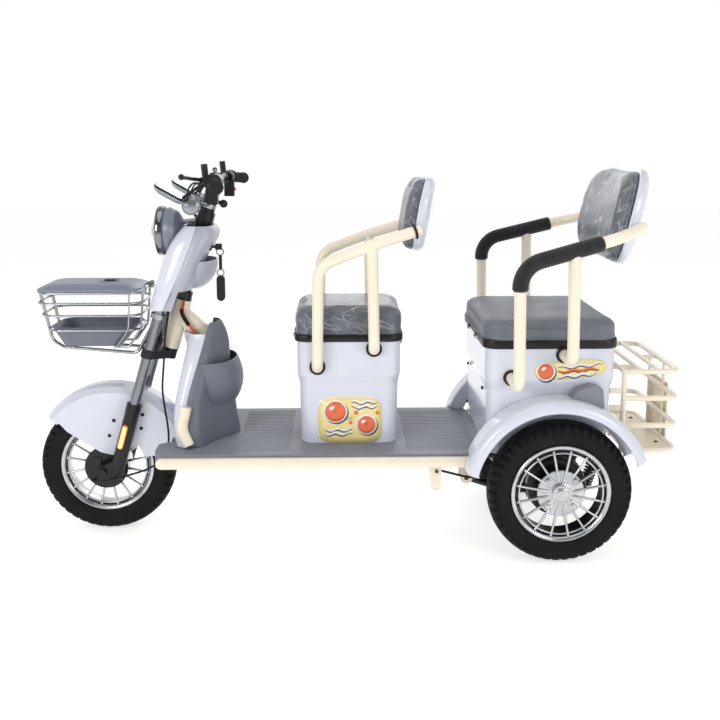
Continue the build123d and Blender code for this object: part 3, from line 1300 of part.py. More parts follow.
# The lid lies on the top loop and hinges on pins across its back.
lid_low = 180.3
lid_edge = 186
lid_crown = 199
lid_front = -158
lid_rear = 136
lid_half = 101
with BuildPart() as basket_lid:
    for inset, drop in ((0, 0), (tray_wall, tray_wall)):
        mode = Mode.SUBTRACT if inset else Mode.ADD
        skirt = tray_face(lid_low - 0.01 * inset, lid_front, lid_rear, lid_half, inset)
        extrude(skirt, amount=lid_edge - lid_low + 0.01 * inset, mode=mode)
        loft(sections=[tray_face(lid_edge, lid_front, lid_rear, lid_half, inset),
                       tray_face(lid_crown - 5 - drop, lid_front + 10, lid_rear - 10, lid_half - 10, inset)],
             mode=mode)
        loft(sections=[tray_face(lid_crown - 5 - drop, lid_front + 10, lid_rear - 10, lid_half - 10, inset),
                       tray_face(lid_crown - drop, lid_front + 40, lid_rear - 40, lid_half - 40, inset)], mode=mode)
    with BuildSketch(Plane(origin=basket_point(36, 0, lid_crown - 20), z_dir=(0, 0, 1))) as finger_hole:
        SlotOverall(46, 22, rotation=90)
    extrude(finger_hole.sketch, amount=60, mode=Mode.SUBTRACT)
    for side in (-1, 1):
        bar(basket_point(lid_rear - 1.5, side * 60 - 5, 180.8), basket_point(145, side * 60 + 5, 187.5))
        with BuildSketch(Plane(origin=(basket_hinge_x, side * 60, basket_hinge_z), x_dir=(1, 0, 0),
                               z_dir=(0, -1, 0))) as eye:
            Circle(5.6)
            Circle(2.5 + axle_gap, mode=Mode.SUBTRACT)
        extrude(eye.sketch, amount=5, both=True)
save(basket_lid, "basket_lid")

# ---- held cables ----
cable_route = [
    (-535, -62, 700), (-541, -66, 650), (-549, -69, 605), (-552, -70, 560), (-556, -77, 505), (-560, -83, 455),
    (-555, -84, 400), (-547, -84, 345), (-545, -84, 295), (-556, -88, 255), (-582, -95, 226), (-622, -102, 208),
    (-668, -105, 196), (-712, -103, 182), (-745, -94, 172), (-767, -76, 168), (-783, -56.9, 163),
]
with BuildPart() as front_brake_cable:
    cord("front_brake_cable", cable_route, 6)
save(front_brake_cable, "front_brake_cable")

harness_route = [
    (-497, -33, 706), (-503, -36, 675), (-491, -38, 646), (-468, -38, 613), (-453, -35, 584), (-437, -29.7, 558),
]
lead_x = board_x + 2 + seat_gap
lead_route = [
    (lead_x, -20, tail_lamp_z - 17), (lead_x, -27, 390), (lead_x, -29, 352), (lead_x, -22, 316),
    (lead_x, -17, 288),
]
with BuildPart() as wiring_leads:
    cord("harness", harness_route, 9)
    cord("tail lamp lead", lead_route, 4)
save(wiring_leads, "wiring_leads")
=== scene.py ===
import math

import bmesh
import bpy
import numpy as np
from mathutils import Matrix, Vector


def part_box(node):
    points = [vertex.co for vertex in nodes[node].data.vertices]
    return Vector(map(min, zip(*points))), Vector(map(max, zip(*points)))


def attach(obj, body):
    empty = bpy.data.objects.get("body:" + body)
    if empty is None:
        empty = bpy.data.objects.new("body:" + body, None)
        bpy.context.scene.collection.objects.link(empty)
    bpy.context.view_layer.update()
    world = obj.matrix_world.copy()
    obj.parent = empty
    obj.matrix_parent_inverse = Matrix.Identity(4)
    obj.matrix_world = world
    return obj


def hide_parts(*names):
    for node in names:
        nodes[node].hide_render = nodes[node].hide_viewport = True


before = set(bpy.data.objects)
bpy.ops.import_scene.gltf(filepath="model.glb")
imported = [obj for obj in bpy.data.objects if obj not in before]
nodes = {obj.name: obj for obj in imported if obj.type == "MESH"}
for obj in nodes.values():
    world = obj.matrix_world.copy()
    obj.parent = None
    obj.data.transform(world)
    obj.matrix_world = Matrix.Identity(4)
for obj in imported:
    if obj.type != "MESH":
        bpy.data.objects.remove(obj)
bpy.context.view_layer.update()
print("frame loaded")

# Everything is in metres, in the frame's own axes: the vehicle faces -X, its left side is -Y.
mm = 0.001


def linear(hexColour, alpha=1.0):
    # sRGB hex digits to linear colour
    levels = [int(hexColour[i:i + 2], 16) / 255 for i in (0, 2, 4)]
    return tuple(v / 12.92 if v <= 0.04045 else ((v + 0.055) / 1.055) ** 2.4 for v in levels) + (alpha,)


def addNode(tree, kind, inputs=None, **settings):
    # one node, with its settings, and its inputs as links or values
    node = tree.nodes.new(kind)
    for name, value in settings.items():
        setattr(node, name, value)
    for name, value in (inputs or {}).items():
        if isinstance(value, bpy.types.NodeSocket):
            tree.links.new(value, node.inputs[name])
        else:
            node.inputs[name].default_value = value
    return node


# camera and light

camera = {"place": (-0.0367, -2.7366, 1.1661), "down": 9.78, "turn": -1.23, "lens": 46.46, "shiftY": -0.08}
camData = bpy.data.cameras.new("camera")
camData.lens = camera["lens"]
camData.sensor_width = 36
camData.shift_y = camera["shiftY"]
cam = bpy.data.objects.new("camera", camData)
cam.location = camera["place"]
cam.rotation_euler = (math.radians(90 - camera["down"]), 0, math.radians(camera["turn"]))
bpy.context.collection.objects.link(cam)
bpy.context.scene.camera = cam

# name: place, power in watts, size in metres
lamps = {
    "skyPanel": ((0.1, -0.5, 3.4), 30, 3.0),
    "leftPanel": ((-2.4, -2.9, 1.9), 52, 1.6),
    "rightPanel": ((2.5, -2.6, 1.5), 30, 1.4),
    "backPanel": ((0.3, 3.0, 2.2), 22, 2.4),
}
for lampName, (place, power, size) in lamps.items():
    light = bpy.data.lights.new(lampName, "AREA")
    light.energy = power
    light.size = size
    lamp = bpy.data.objects.new(lampName, light)
    lamp.location = place
    aim = Vector((0, 0, 0.5)) - Vector(place)
    lamp.rotation_euler = aim.to_track_quat("-Z", "Y").to_euler()
    bpy.context.collection.objects.link(lamp)

# white round the horizon, dimmer overhead and behind the camera, so that glossy surfaces show a gradient
world = bpy.data.worlds.new("studio")
world.use_nodes = True
skyTree = world.node_tree
heading = addNode(skyTree, "ShaderNodeTexCoord").outputs["Generated"]
facing = addNode(skyTree, "ShaderNodeSeparateXYZ", {"Vector": heading})
sky = addNode(skyTree, "ShaderNodeValToRGB", {"Fac": facing.outputs["Z"]})
for stop, (place, level) in enumerate(((0.0, 1.0), (0.22, 1.0), (0.5, 0.62), (0.9, 0.42))):
    if stop > 1:
        sky.color_ramp.elements.new(place)
    sky.color_ramp.elements[stop].position = place
    sky.color_ramp.elements[stop].color = (level, level, level, 1)
dim = addNode(skyTree, "ShaderNodeMapRange", {"Value": facing.outputs["Y"], "From Min": -0.75, "From Max": -0.1,
                                              "To Min": 0.3, "To Max": 1.0}, interpolation_type="SMOOTHSTEP")
both = addNode(skyTree, "ShaderNodeVectorMath", {0: sky.outputs["Color"], 1: dim.outputs["Result"]},
               operation="MULTIPLY")
seen = addNode(skyTree, "ShaderNodeLightPath").outputs["Is Camera Ray"]   # the backdrop itself is one even white
backdrop = addNode(skyTree, "ShaderNodeMix", {0: seen, 6: both.outputs["Vector"], 7: (1, 1, 1, 1)}, data_type="RGBA")
skyTree.links.new(backdrop.outputs[2], skyTree.nodes["Background"].inputs["Color"])
skyTree.nodes["Background"].inputs["Strength"].default_value = 1.0
bpy.context.scene.world = world
bpy.context.scene.view_settings.view_transform = "Standard"


# materials

def finish(name, colour, rough, metal=0.0, grain=1.0, depth=0.02, other=None, patch=140, spread=0.5,
           roughSpread=0.06, stretch=(1, 1, 1), cells=False, **sockets):
    # One surface: grain is the width of its texture and depth its height, patch is the size of the clouds
    # in which the colour drifts to the other colour, all in millimetres.
    material = bpy.data.materials.new(name)
    material.use_nodes = True
    tree = material.node_tree
    surface = tree.nodes["Principled BSDF"]
    place = addNode(tree, "ShaderNodeTexCoord").outputs["Object"]
    clouds = addNode(tree, "ShaderNodeTexNoise", {"Vector": place, "Scale": 1000 / patch, "Detail": 4.0})
    shade = addNode(tree, "ShaderNodeValToRGB", {"Fac": clouds.outputs["Fac"]})
    shade.color_ramp.elements[0].position = 0.5 - spread / 2
    shade.color_ramp.elements[0].color = linear(other or colour)
    shade.color_ramp.elements[1].position = 0.5 + spread / 2
    shade.color_ramp.elements[1].color = linear(colour)
    tree.links.new(shade.outputs["Color"], surface.inputs["Base Color"])
    drawn = addNode(tree, "ShaderNodeMapping", {"Vector": place, "Scale": stretch}).outputs["Vector"]
    if cells:
        bumps = addNode(tree, "ShaderNodeTexVoronoi", {"Vector": drawn, "Scale": 1000 / grain},
                        feature="SMOOTH_F1").outputs["Distance"]
    else:
        bumps = addNode(tree, "ShaderNodeTexNoise", {"Vector": drawn, "Scale": 1000 / grain,
                                                     "Detail": 3.0}).outputs["Fac"]
    relief = addNode(tree, "ShaderNodeBump", {"Height": bumps, "Distance": depth * mm, "Strength": 0.6})
    tree.links.new(relief.outputs["Normal"], surface.inputs["Normal"])
    wear = addNode(tree, "ShaderNodeMapRange", {"Value": clouds.outputs["Fac"], "From Min": 0.3, "From Max": 0.7,
                                                "To Min": max(0.02, rough - roughSpread),
                                                "To Max": min(1.0, rough + roughSpread)})
    tree.links.new(wear.outputs["Result"], surface.inputs["Roughness"])
    surface.inputs["Metallic"].default_value = metal
    for socketName, value in sockets.items():
        surface.inputs[socketName.replace("_", " ")].default_value = value
    return material


# Glossy injection-moulded ABS in pale lavender white: faint flow clouds and a soft moulded gloss.
absLavender = finish("absLavender", "D8DBE7", 0.2, grain=3, depth=0.02, other="D0D3E0", patch=260,
                     Coat_Weight=0.45, Coat_Roughness=0.08)
# The same plastic in mid grey, with the fine spark-eroded texture that dulls it.
absGrey = finish("absGrey", "83868F", 0.48, grain=1.1, depth=0.06, other="7A7D87", patch=200)
absLightGrey = finish("absLightGrey", "AFB2BD", 0.36, grain=1.2, depth=0.04, other="AAADB8", patch=220)
absSlate = finish("absSlate", "7F8595", 0.36, grain=1.4, depth=0.04, other="787E8D", patch=220)
# Black glass-filled nylon, slightly dusty in its clouds.
nylonBlack = finish("nylonBlack", "070708", 0.42, grain=0.9, depth=0.05, other="0C0C0D", patch=60,
                    Specular_IOR_Level=0.4)
# Powder coat on tube: a fine orange peel under a semi-gloss.
powderCream = finish("powderCream", "F3E9D5", 0.32, grain=2.2, depth=0.035, other="EEE2CC", patch=180,
                     Coat_Weight=0.25, Coat_Roughness=0.15)
powderBlack = finish("powderBlack", "0A0A0B", 0.32, grain=2.0, depth=0.03, other="101011", patch=90,
                     Specular_IOR_Level=0.4)
# Chrome plate on polished steel tube, with only a breath of haze.
chromePlate = finish("chromePlate", "8C8E92", 0.07, metal=1.0, grain=9, depth=0.01, other="808286", patch=70,
                     roughSpread=0.03)
# Satin nickel on drawn wire.
nickelSatin = finish("nickelSatin", "A6A8AC", 0.22, metal=1.0, grain=1.6, depth=0.015, other="AFB2B6", patch=50)
# Machined and lacquered die-cast aluminium.
castAluminium = finish("castAluminium", "CBCCCE", 0.24, metal=1.0, grain=1.4, depth=0.02, other="B9BBBE",
                       patch=36, Coat_Weight=0.3, Coat_Roughness=0.1)
# Diamond-turned, lacquered rims: brighter and sharper than the casting.
polishedAluminium = finish("polishedAluminium", "D2D3D5", 0.27, metal=1.0, grain=2.2, depth=0.012, other="AEB0B4",
                           patch=30, roughSpread=0.05, Coat_Weight=0.4, Coat_Roughness=0.05)
tyreRubber = finish("tyreRubber", "090909", 0.6, grain=1.3, depth=0.08, other="0F0F10", patch=45,
                    Specular_IOR_Level=0.2)
rubberBlack = finish("rubberBlack", "0D0D0E", 0.55, grain=1.0, depth=0.05, other="131314", patch=40,
                     Specular_IOR_Level=0.35)
# Closed-cell foam sleeve with an open, pitted skin.
foamCharcoal = finish("foamCharcoal", "121315", 0.85, grain=1.6, depth=0.25, other="18191B", patch=30,
                      cells=True, Sheen_Weight=0.25, Sheen_Roughness=0.5)
# Embossed vinyl leatherette: pebbles a millimetre and a half across.
vinylGrey = finish("vinylGrey", "70747D", 0.5, grain=1.7, depth=0.12, other="686C75", patch=90, cells=True,
                   Specular_IOR_Level=0.4)
# The same vinyl in its clear packing film: a gloss over fine crumples, whiter along their crests, partly the film's
# own milkiness and partly painted highlight for its glints.
vinylUnderFilm = finish("vinylUnderFilm", "575B64", 0.46, grain=1.7, depth=0.12, other="636770", patch=40, cells=True,
                        Coat_Weight=0.38, Coat_Roughness=0.12)


def creased(material, sizes, height, milkAndHighlight, milkAndHighlightColour):
    # Sharp creases at two sizes on the clear film: ridges in the coat, and a whiter colour along the folds, partly the
    # film's own milkiness and partly painted highlight.
    tree = material.node_tree
    surface = tree.nodes["Principled BSDF"]
    place = addNode(tree, "ShaderNodeTexCoord").outputs["Object"]
    bend = addNode(tree, "ShaderNodeTexNoise", {"Vector": place, "Scale": 14.0, "Detail": 2.0}).outputs["Color"]
    bent = addNode(tree, "ShaderNodeVectorMath", {0: bend, 1: (0.035, 0.035, 0.035), 2: place},
                   operation="MULTIPLY_ADD").outputs["Vector"]
    folds = []
    for size, stretch, turn in zip(sizes, ((1, 0.5, 4.4), (0.9, 0.6, 5.2)), ((0.7, 0, 0), (-0.1, 1.9, 0))):
        drawn = addNode(tree, "ShaderNodeMapping", {"Vector": bent, "Scale": stretch, "Rotation": turn},
                        vector_type="TEXTURE")
        cracks = addNode(tree, "ShaderNodeTexVoronoi", {"Vector": drawn.outputs["Vector"], "Scale": 1000 / size},
                         feature="DISTANCE_TO_EDGE").outputs["Distance"]
        folds.append(addNode(tree, "ShaderNodeMapRange", {"Value": cracks, "From Min": 0.0, "From Max": 0.085,
                                                          "To Min": 1.0, "To Max": 0.0},
                             interpolation_type="SMOOTHSTEP").outputs["Result"])
    # the first folds lie across faces that look forward or back, the second along all the others
    facing = addNode(tree, "ShaderNodeSeparateXYZ", {0: addNode(tree, "ShaderNodeTexCoord").outputs["Normal"]})
    ahead = addNode(tree, "ShaderNodeMath", {0: facing.outputs["X"]}, operation="ABSOLUTE").outputs["Value"]
    ahead = addNode(tree, "ShaderNodeMapRange", {"Value": ahead, "From Min": 0.35, "From Max": 0.75}).outputs["Result"]
    ridge = addNode(tree, "ShaderNodeMix", {0: ahead, 2: folds[1], 3: folds[0]}).outputs[0]
    where = addNode(tree, "ShaderNodeTexNoise", {"Vector": place, "Scale": 22.0, "Detail": 3.0}).outputs["Fac"]
    share = addNode(tree, "ShaderNodeMapRange", {"Value": where, "From Min": 0.42, "From Max": 0.66,
                                                 "To Min": 0.05, "To Max": 1.0}).outputs["Result"]
    amount = addNode(tree, "ShaderNodeMath", {0: ridge, 1: share}, operation="MULTIPLY").outputs["Value"]
    relief = addNode(tree, "ShaderNodeBump", {"Height": amount, "Distance": height * mm, "Strength": 0.8})
    tree.links.new(relief.outputs["Normal"], surface.inputs["Coat Normal"])
    # the crests are mixed towards a pale colour: partly the film's milkiness, partly painted highlight
    crestMilkAndHighlight = addNode(tree, "ShaderNodeMath", {0: amount, 1: milkAndHighlight}, operation="MULTIPLY").outputs["Value"]
    under = surface.inputs["Base Color"].links[0].from_socket
    blend = addNode(tree, "ShaderNodeMix", {"Factor": crestMilkAndHighlight}, data_type="RGBA")
    tree.links.new(under, blend.inputs[6])
    blend.inputs[7].default_value = linear(milkAndHighlightColour)
    tree.links.new(blend.outputs[2], surface.inputs["Base Color"])


# pale crest colour: partly milky film, partly painted highlight
creased(vinylUnderFilm, (44, 21), 1.6, 0.5, "D3D6DC")
siliconeOrange = finish("siliconeOrange", "D4582A", 0.45, grain=1.5, depth=0.05, other="C64C20", patch=30)
paintRed = finish("paintRed", "C81E1E", 0.35, grain=1.2, depth=0.03, other="B51919", patch=20)

# Moulded lamp plastics: clear polycarbonate over a reflector, and dyed red and amber ones.
lensClear = finish("lensClear", "F4F6F8", 0.05, grain=6, depth=0.03, other="EEF1F4", patch=60, roughSpread=0.02,
                   Transmission_Weight=0.9, IOR=1.49)
lensRed = finish("lensRed", "9E1015", 0.12, grain=4, depth=0.2, other="8A0C11", patch=40, roughSpread=0.03,
                 Transmission_Weight=0.25, IOR=1.49, Coat_Weight=0.6)
lensAmber = finish("lensAmber", "F08A24", 0.15, grain=4, depth=0.2, other="E87A18", patch=30, roughSpread=0.03,
                   Coat_Weight=0.6)
mirrorGlass = finish("mirrorGlass", "E6E9EC", 0.03, metal=1.0, grain=20, depth=0.002, other="E0E4E8", patch=80,
                     roughSpread=0.01)
glowAmber = finish("glowAmber", "FFD9A0", 0.3, grain=3, depth=0.02, other="FFC27A", patch=14,
                   Emission_Color=linear("FF9A3C"), Emission_Strength=3.2)

satinGrey = finish("satinGrey", "9C9FA6", 0.26, metal=0.55, grain=1.2, depth=0.02, other="92959D", patch=40,
                   Coat_Weight=0.3, Coat_Roughness=0.15)
capSlate = finish("capSlate", "5C6270", 0.36, grain=1.4, depth=0.04, other="555B68", patch=60)
# Screen-printed film: solid inks with a satin clear coat.
printYellow = finish("printYellow", "F2E2A0", 0.3, grain=0.6, depth=0.01, other="EFD98C", patch=60, Coat_Weight=0.3)
printCoral = finish("printCoral", "E8703F", 0.3, grain=0.6, depth=0.01, other="E2622F", patch=40, Coat_Weight=0.3)
printWhite = finish("printWhite", "F4F4F4", 0.3, grain=0.6, depth=0.01, other="EDEDF0", patch=60, Coat_Weight=0.3)
printSlate = finish("printSlate", "4A4E5C", 0.3, grain=0.6, depth=0.01, other="444856", patch=40, Coat_Weight=0.3)

# The deck's mid grey made darker for the leg shield's inner face and its pocket: painted shade.
absGreyPaintedShade = finish("absGreyPaintedShade", "6D707B", 0.46, grain=1.1, depth=0.06, other="666A74", patch=200)
absTray = finish("absTray", "6C707C", 0.42, grain=1.2, depth=0.05, other="656974", patch=120)

nodeFinish = {
    absLavender: "leg_shield_outer mid_seat_box rear_seat_box back_shells rear_fenders front_fender front_fairing",
    absGrey: "floor_deck fender_lamps",
    absGreyPaintedShade: "leg_shield_inner storage_pocket",
    absLightGrey: "rear_fairing glove_pocket",
    absSlate: "headlamp_bowl basket_lid",
    absTray: "basket_tray",
    nylonBlack: "mid_lid_pan rear_lid_pan battery_pack bar_controls key_set mirrors",
    satinGrey: "turn_signals",
    powderCream: "frame_neck deck_rails shield_tubes mid_rails rear_rails rear_basket basket_floor ladder_frame",
    powderBlack: "rear_axle rear_brakes swing_arm rear_shocks steering_stem fork_legs front_axle bar_stem handlebar",
    chromePlate: "fork_tubes",
    nickelSatin: "basket_frame",
    castAluminium: "front_rim rear_rim_left rear_rim_right",
    tyreRubber: "front_tyre rear_tyre_left rear_tyre_right",
    rubberBlack: "rail_grommets hand_grips front_brake_cable",
    foamCharcoal: "armrest_grips",
    vinylGrey: "mid_cushion rear_cushion back_pads",
    siliconeOrange: "wiring_leads",
    lensClear: "headlamp_lens",
    lensRed: "tail_lamp",
}
for material, names in nodeFinish.items():
    for name in names.split():
        for holder in nodes[name].material_slots:
            holder.material = material
print("materials made")


# surfaces

def grid(points, closeRows=False, closeCols=True):
    # a sheet of quads over an array of points, joined round its rows or columns where they close
    rows, cols = points.shape[:2]
    row, col = np.meshgrid(np.arange(rows if closeRows else rows - 1), np.arange(cols if closeCols else cols - 1),
                           indexing="ij")
    nextRow, nextCol = (row + 1) % rows, (col + 1) % cols
    quads = np.stack([row * cols + col, row * cols + nextCol, nextRow * cols + nextCol, nextRow * cols + col], -1)
    return points.reshape(-1, 3), quads.reshape(-1, 4)


def capped(points):
    # the rows of a tube with each end drawn in to its middle
    ends = [np.repeat(points[i].mean(0)[None], points.shape[1], 0) for i in (0, -1)]
    return np.concatenate([ends[0][None], points, ends[1][None]])


def joined(parts):
    starts = np.cumsum([0] + [len(points) for points, quads in parts])
    return (np.concatenate([points for points, quads in parts]),
            np.concatenate([quads + start for (points, quads), start in zip(parts, starts)]))


def meshOf(name, shape):
    points, quads = shape
    mesh = bpy.data.meshes.new(name)
    mesh.vertices.add(len(points))
    mesh.vertices.foreach_set("co", np.ascontiguousarray(points, np.float32).ravel())
    mesh.loops.add(quads.size)
    mesh.loops.foreach_set("vertex_index", quads.astype(np.int32).ravel())
    mesh.polygons.add(len(quads))
    mesh.polygons.foreach_set("loop_start", np.arange(len(quads), dtype=np.int32) * 4)
    mesh.update(calc_edges=True)
    work = bmesh.new()
    work.from_mesh(mesh)
    bmesh.ops.remove_doubles(work, verts=work.verts, dist=1e-6)
    bmesh.ops.dissolve_degenerate(work, edges=work.edges, dist=1e-7)
    bmesh.ops.recalc_face_normals(work, faces=work.faces)
    work.to_mesh(mesh)
    work.free()
    return mesh


def addPiece(name, parts, material, body, replaces=(), crease=35, wall=0.0):
    # one finished piece: its surfaces joined, riding on its body
    piece = bpy.data.objects.new(name, meshOf(name, joined(parts)))
    bpy.context.collection.objects.link(piece)
    piece.data.materials.append(material)
    piece.data.polygons.foreach_set("use_smooth", np.ones(len(piece.data.polygons), bool))
    piece.data.set_sharp_from_angle(angle=math.radians(crease))
    if wall:
        solid = piece.modifiers.new("wall", "SOLIDIFY")
        solid.thickness = wall
        solid.offset = 0
    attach(piece, body)
    if replaces:
        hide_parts(*replaces)
    return piece


def unit(vector):
    return np.asarray(vector, float) / np.linalg.norm(vector)


def tubeAlong(path, radius, sides=12, up=(0, 0, 1), flat=1.0, caps=True):
    # A circle carried along a path. The radius may change from point to point; flat squeezes it upright.
    path = np.asarray(path, float)
    run = np.gradient(path, axis=0)
    run /= np.linalg.norm(run, axis=1)[:, None]
    across = np.cross(run, up)
    across /= np.linalg.norm(across, axis=1)[:, None]
    above = np.cross(across, run)
    turn = np.linspace(0, 2 * np.pi, sides, endpoint=False)
    size = np.broadcast_to(radius, len(path))[:, None, None]
    points = path[:, None] + size * (across[:, None] * np.cos(turn)[:, None]
                                     + flat * above[:, None] * np.sin(turn)[:, None])
    return grid(capped(points) if caps else points)


def revolved(profile, centre, axis, sides=64, closed=False, sector=None):
    # A profile of (radius, distance along the axis) turned round the axis; closed where it comes back to its start.
    profile = np.asarray(profile, float)
    axis = unit(axis)
    first = unit(np.cross(axis, (0.31, 0.17, 0.93)))
    second = np.cross(axis, first)
    turn = np.linspace(0, 2 * np.pi, sides, endpoint=False)
    spoke = first * np.cos(turn)[:, None] + second * np.sin(turn)[:, None]
    points = np.asarray(centre) + profile[:, 0, None, None] * spoke[None] + (profile[:, 1, None] * axis)[:, None]
    return grid(points, closeRows=closed)


def smoothRoute(points, count):
    # points evenly spaced in parameter on a cubic through the given points, Catmull and Rom's
    given = np.asarray(points, float)
    given = np.concatenate([2 * given[:1] - given[1:2], given, 2 * given[-1:] - given[-2:-1]])
    place = np.linspace(0, len(given) - 3 - 1e-9, count)
    start = place.astype(int)
    t = (place - start)[:, None]
    a, b, c, d = (given[start + i] for i in range(4))
    return 0.5 * (2 * b + (c - a) * t + (2 * a - 5 * b + 4 * c - d) * t ** 2 + (3 * b - a - 3 * c + d) * t ** 3)


def roundedOutline(halfWide, halfHigh, corner, perCorner=12, perSide=10):
    # (n, 2) points round a rectangle with rounded corners, the same count for every size
    arc = np.linspace(0, np.pi / 2, perCorner)
    parts = []
    for quarter, (sx, sy) in enumerate(((1, 1), (-1, 1), (-1, -1), (1, -1))):
        centre = np.array((sx * (halfWide - corner), sy * (halfHigh - corner)))
        turn = arc + quarter * np.pi / 2
        parts.append(centre + corner * np.stack([np.cos(turn), np.sin(turn)], -1))
    outline = []
    for quarter in range(4):
        here, following = parts[quarter], parts[(quarter + 1) % 4]
        between = np.linspace(0, 1, perSide + 2)[1:-1, None]
        outline += [here, here[-1] + (following[0] - here[-1]) * between]
    return np.concatenate(outline)


def softStep(value, low, high):
    part = np.clip((value - low) / (high - low), 0, 1)
    return part * part * (3 - 2 * part)


# tyres: a round section, its shoulders cut into blocks and its crown into ribs

# radii and depths in millimetres; pitches are the tread's repeats round the tyre
tyre = {"outer": 202.5, "halfWide": 39.9, "pitches": 46, "deep": 4.2, "steps": 16,
        "axles": {"front_tyre": ((-0.742, 0, 0.2025), "front_wheel"),
                  "rear_tyre_left": ((0.575, -0.262, 0.2025), "rear_wheel_left"),
                  "rear_tyre_right": ((0.575, 0.262, 0.2025), "rear_wheel_right")}}


def tyreShape(centre):
    # Section from bead to bead through the crown: x is |s| from the crown's middle 0 to the bead 1.
    # Grooves lie at set places across the crown; notches between the shoulder blocks repeat round the tyre.
    knots = np.array((-1.0, -0.9, -0.78, -0.66, -0.55, -0.44, -0.3, 0.0, 0.3, 0.44, 0.55, 0.66, 0.78, 0.9, 1.0))
    wide = np.array((-32.7, -33.5, -38, -39.7, -38.8, -34, -22, 0, 22, 34, 38.8, 39.7, 38, 33.5, 32.7))
    high = np.array((129.9, 141.5, 152, 168, 182, 193.5, 200.3, 202.5, 200.3, 193.5, 182, 168, 152, 141.5, 129.9))
    across = np.sort(np.concatenate([np.linspace(-1, -0.56, 12), np.linspace(-0.55, 0.55, 47),
                                     np.linspace(0.56, 1, 12)]))
    count = 701
    step = smoothRoute(np.stack([wide, high, knots * 0], -1), count)
    at = np.interp(across, np.interp(np.linspace(0, 14, count), np.arange(15), knots), np.arange(count))
    y = np.interp(at, np.arange(count), step[:, 0])
    radius = np.interp(at, np.arange(count), step[:, 1])
    turn = np.linspace(0, 2 * np.pi, tyre["pitches"] * tyre["steps"], endpoint=False)[:, None]
    side = np.where(y < 0, 0.5, 0.0)
    phase = (turn / (2 * np.pi) * tyre["pitches"] + side + 0.010 * np.abs(y)) % 1
    notch = (1 - softStep(np.abs(phase - 0.5), 0.1, 0.16)) * softStep(np.abs(y), 17, 19) * softStep(radius, 178, 184)
    sipe = 1 - softStep(np.abs((phase * 2) % 1 - 0.5), 0.05, 0.1)
    fine = sipe * softStep(np.abs(y), 24, 26) * softStep(radius, 170, 176) * 0.35
    zigzag = 8.5 + 1.6 * np.sin(2 * tyre["pitches"] * turn)
    groove = 1 - softStep(np.abs(np.abs(y) - zigzag), 1.2, 2.4)
    ringMark = 0.8 * np.exp(-((radius - 160) / 1.3) ** 2) + 0.6 * np.exp(-((radius - 149) / 1.0) ** 2)
    cut = np.maximum(np.maximum(notch, groove), fine) * tyre["deep"]
    outward = np.stack([-np.gradient(radius), np.gradient(y)], -1)
    outward /= np.linalg.norm(outward, axis=1)[:, None]
    push = -cut + ringMark * 0.6
    yAll = np.clip(y + outward[:, 0] * push, -tyre["halfWide"], tyre["halfWide"])
    rAll = np.minimum(radius + outward[:, 1] * push, tyre["outer"] - 0.05)
    points = np.stack([rAll * np.cos(turn), yAll + 0 * turn, rAll * np.sin(turn)], -1) * mm
    return grid(points + np.asarray(centre), closeRows=True, closeCols=True)


for name, (centre, body) in tyre["axles"].items():
    addPiece(name + "_treaded", [tyreShape(centre)], tyreRubber, body, (name,), crease=28)
print("tyres made")


# wheels: polished lip, inner ring, round spokes, hub disc with its nuts and cap, a black ring of painted shade inside
# the lip, and a black drum behind

wheel = {"spokes": 16, "ring": 117.5, "spokeWide": 4.1, "nuts": 4, "nutCircle": 52, "sides": 96}


def turnedAbout(points, centre, angles):
    # copies of points turned about the wheel's axis, along y, one for each angle
    c, s = np.cos(angles)[:, None, None], np.sin(angles)[:, None, None]
    flat = (points - centre)[None]
    return np.concatenate([c * flat[..., :1] + s * flat[..., 2:], flat[..., 1:2] + 0 * c,
                           c * flat[..., 2:] - s * flat[..., :1]], -1) + centre


def repeated(shape, centre, count, start=0.0):
    points, quads = shape
    turns = start + np.arange(count) * 2 * np.pi / count
    return joined([(copy, quads) for copy in turnedAbout(points, np.asarray(centre), turns)])


def rimParts(centre, out, hub, spokeIn, spokeAlong):
    # rolled lip and barrel, inner ring, tapered round spokes and the hub
    def turned(profile, closed=True):
        return revolved(np.array(profile) * mm, centre, (0, out, 0), wheel["sides"], closed)
    rolled = [(139, 34), (139.3, 36.5), (137.5, 38), (134, 37.6), (130, 35), (127, 31.5), (125.2, 27), (124.4, 20)]
    lip = turned(rolled + [(124, 0), (124.4, -20), (126, -31), (132, -37), (138, -38), (139.3, -36), (138.6, -33.5),
                           (130.5, -31), (129.3, 0), (130.5, 31), (138.6, 33.6)])
    ringTurn = np.linspace(0, 2 * np.pi, 14, endpoint=False)
    inner = turned(np.stack([wheel["ring"] + 2.7 * np.cos(ringTurn), 31 + 3.4 * np.sin(ringTurn)], -1))
    reach = np.array((spokeIn, spokeIn + 6, 0.5 * (spokeIn + 118), 119, 125.6)) * mm
    sizes = np.array((0.75, 1.15, 1.0, 0.92, 1.05)) * wheel["spokeWide"] * mm
    along = np.interp(reach, (spokeIn * mm, 122 * mm), np.array(spokeAlong) * mm)
    path = np.asarray(centre) + np.stack([reach, out * along, 0 * reach], -1)
    spoke = tubeAlong(path, sizes, 10, up=(0, 0, 1), flat=0.9)
    spokes = repeated(spoke, centre, wheel["spokes"], np.pi / wheel["spokes"])
    return [lip, inner, spokes, turned(hub, False)]


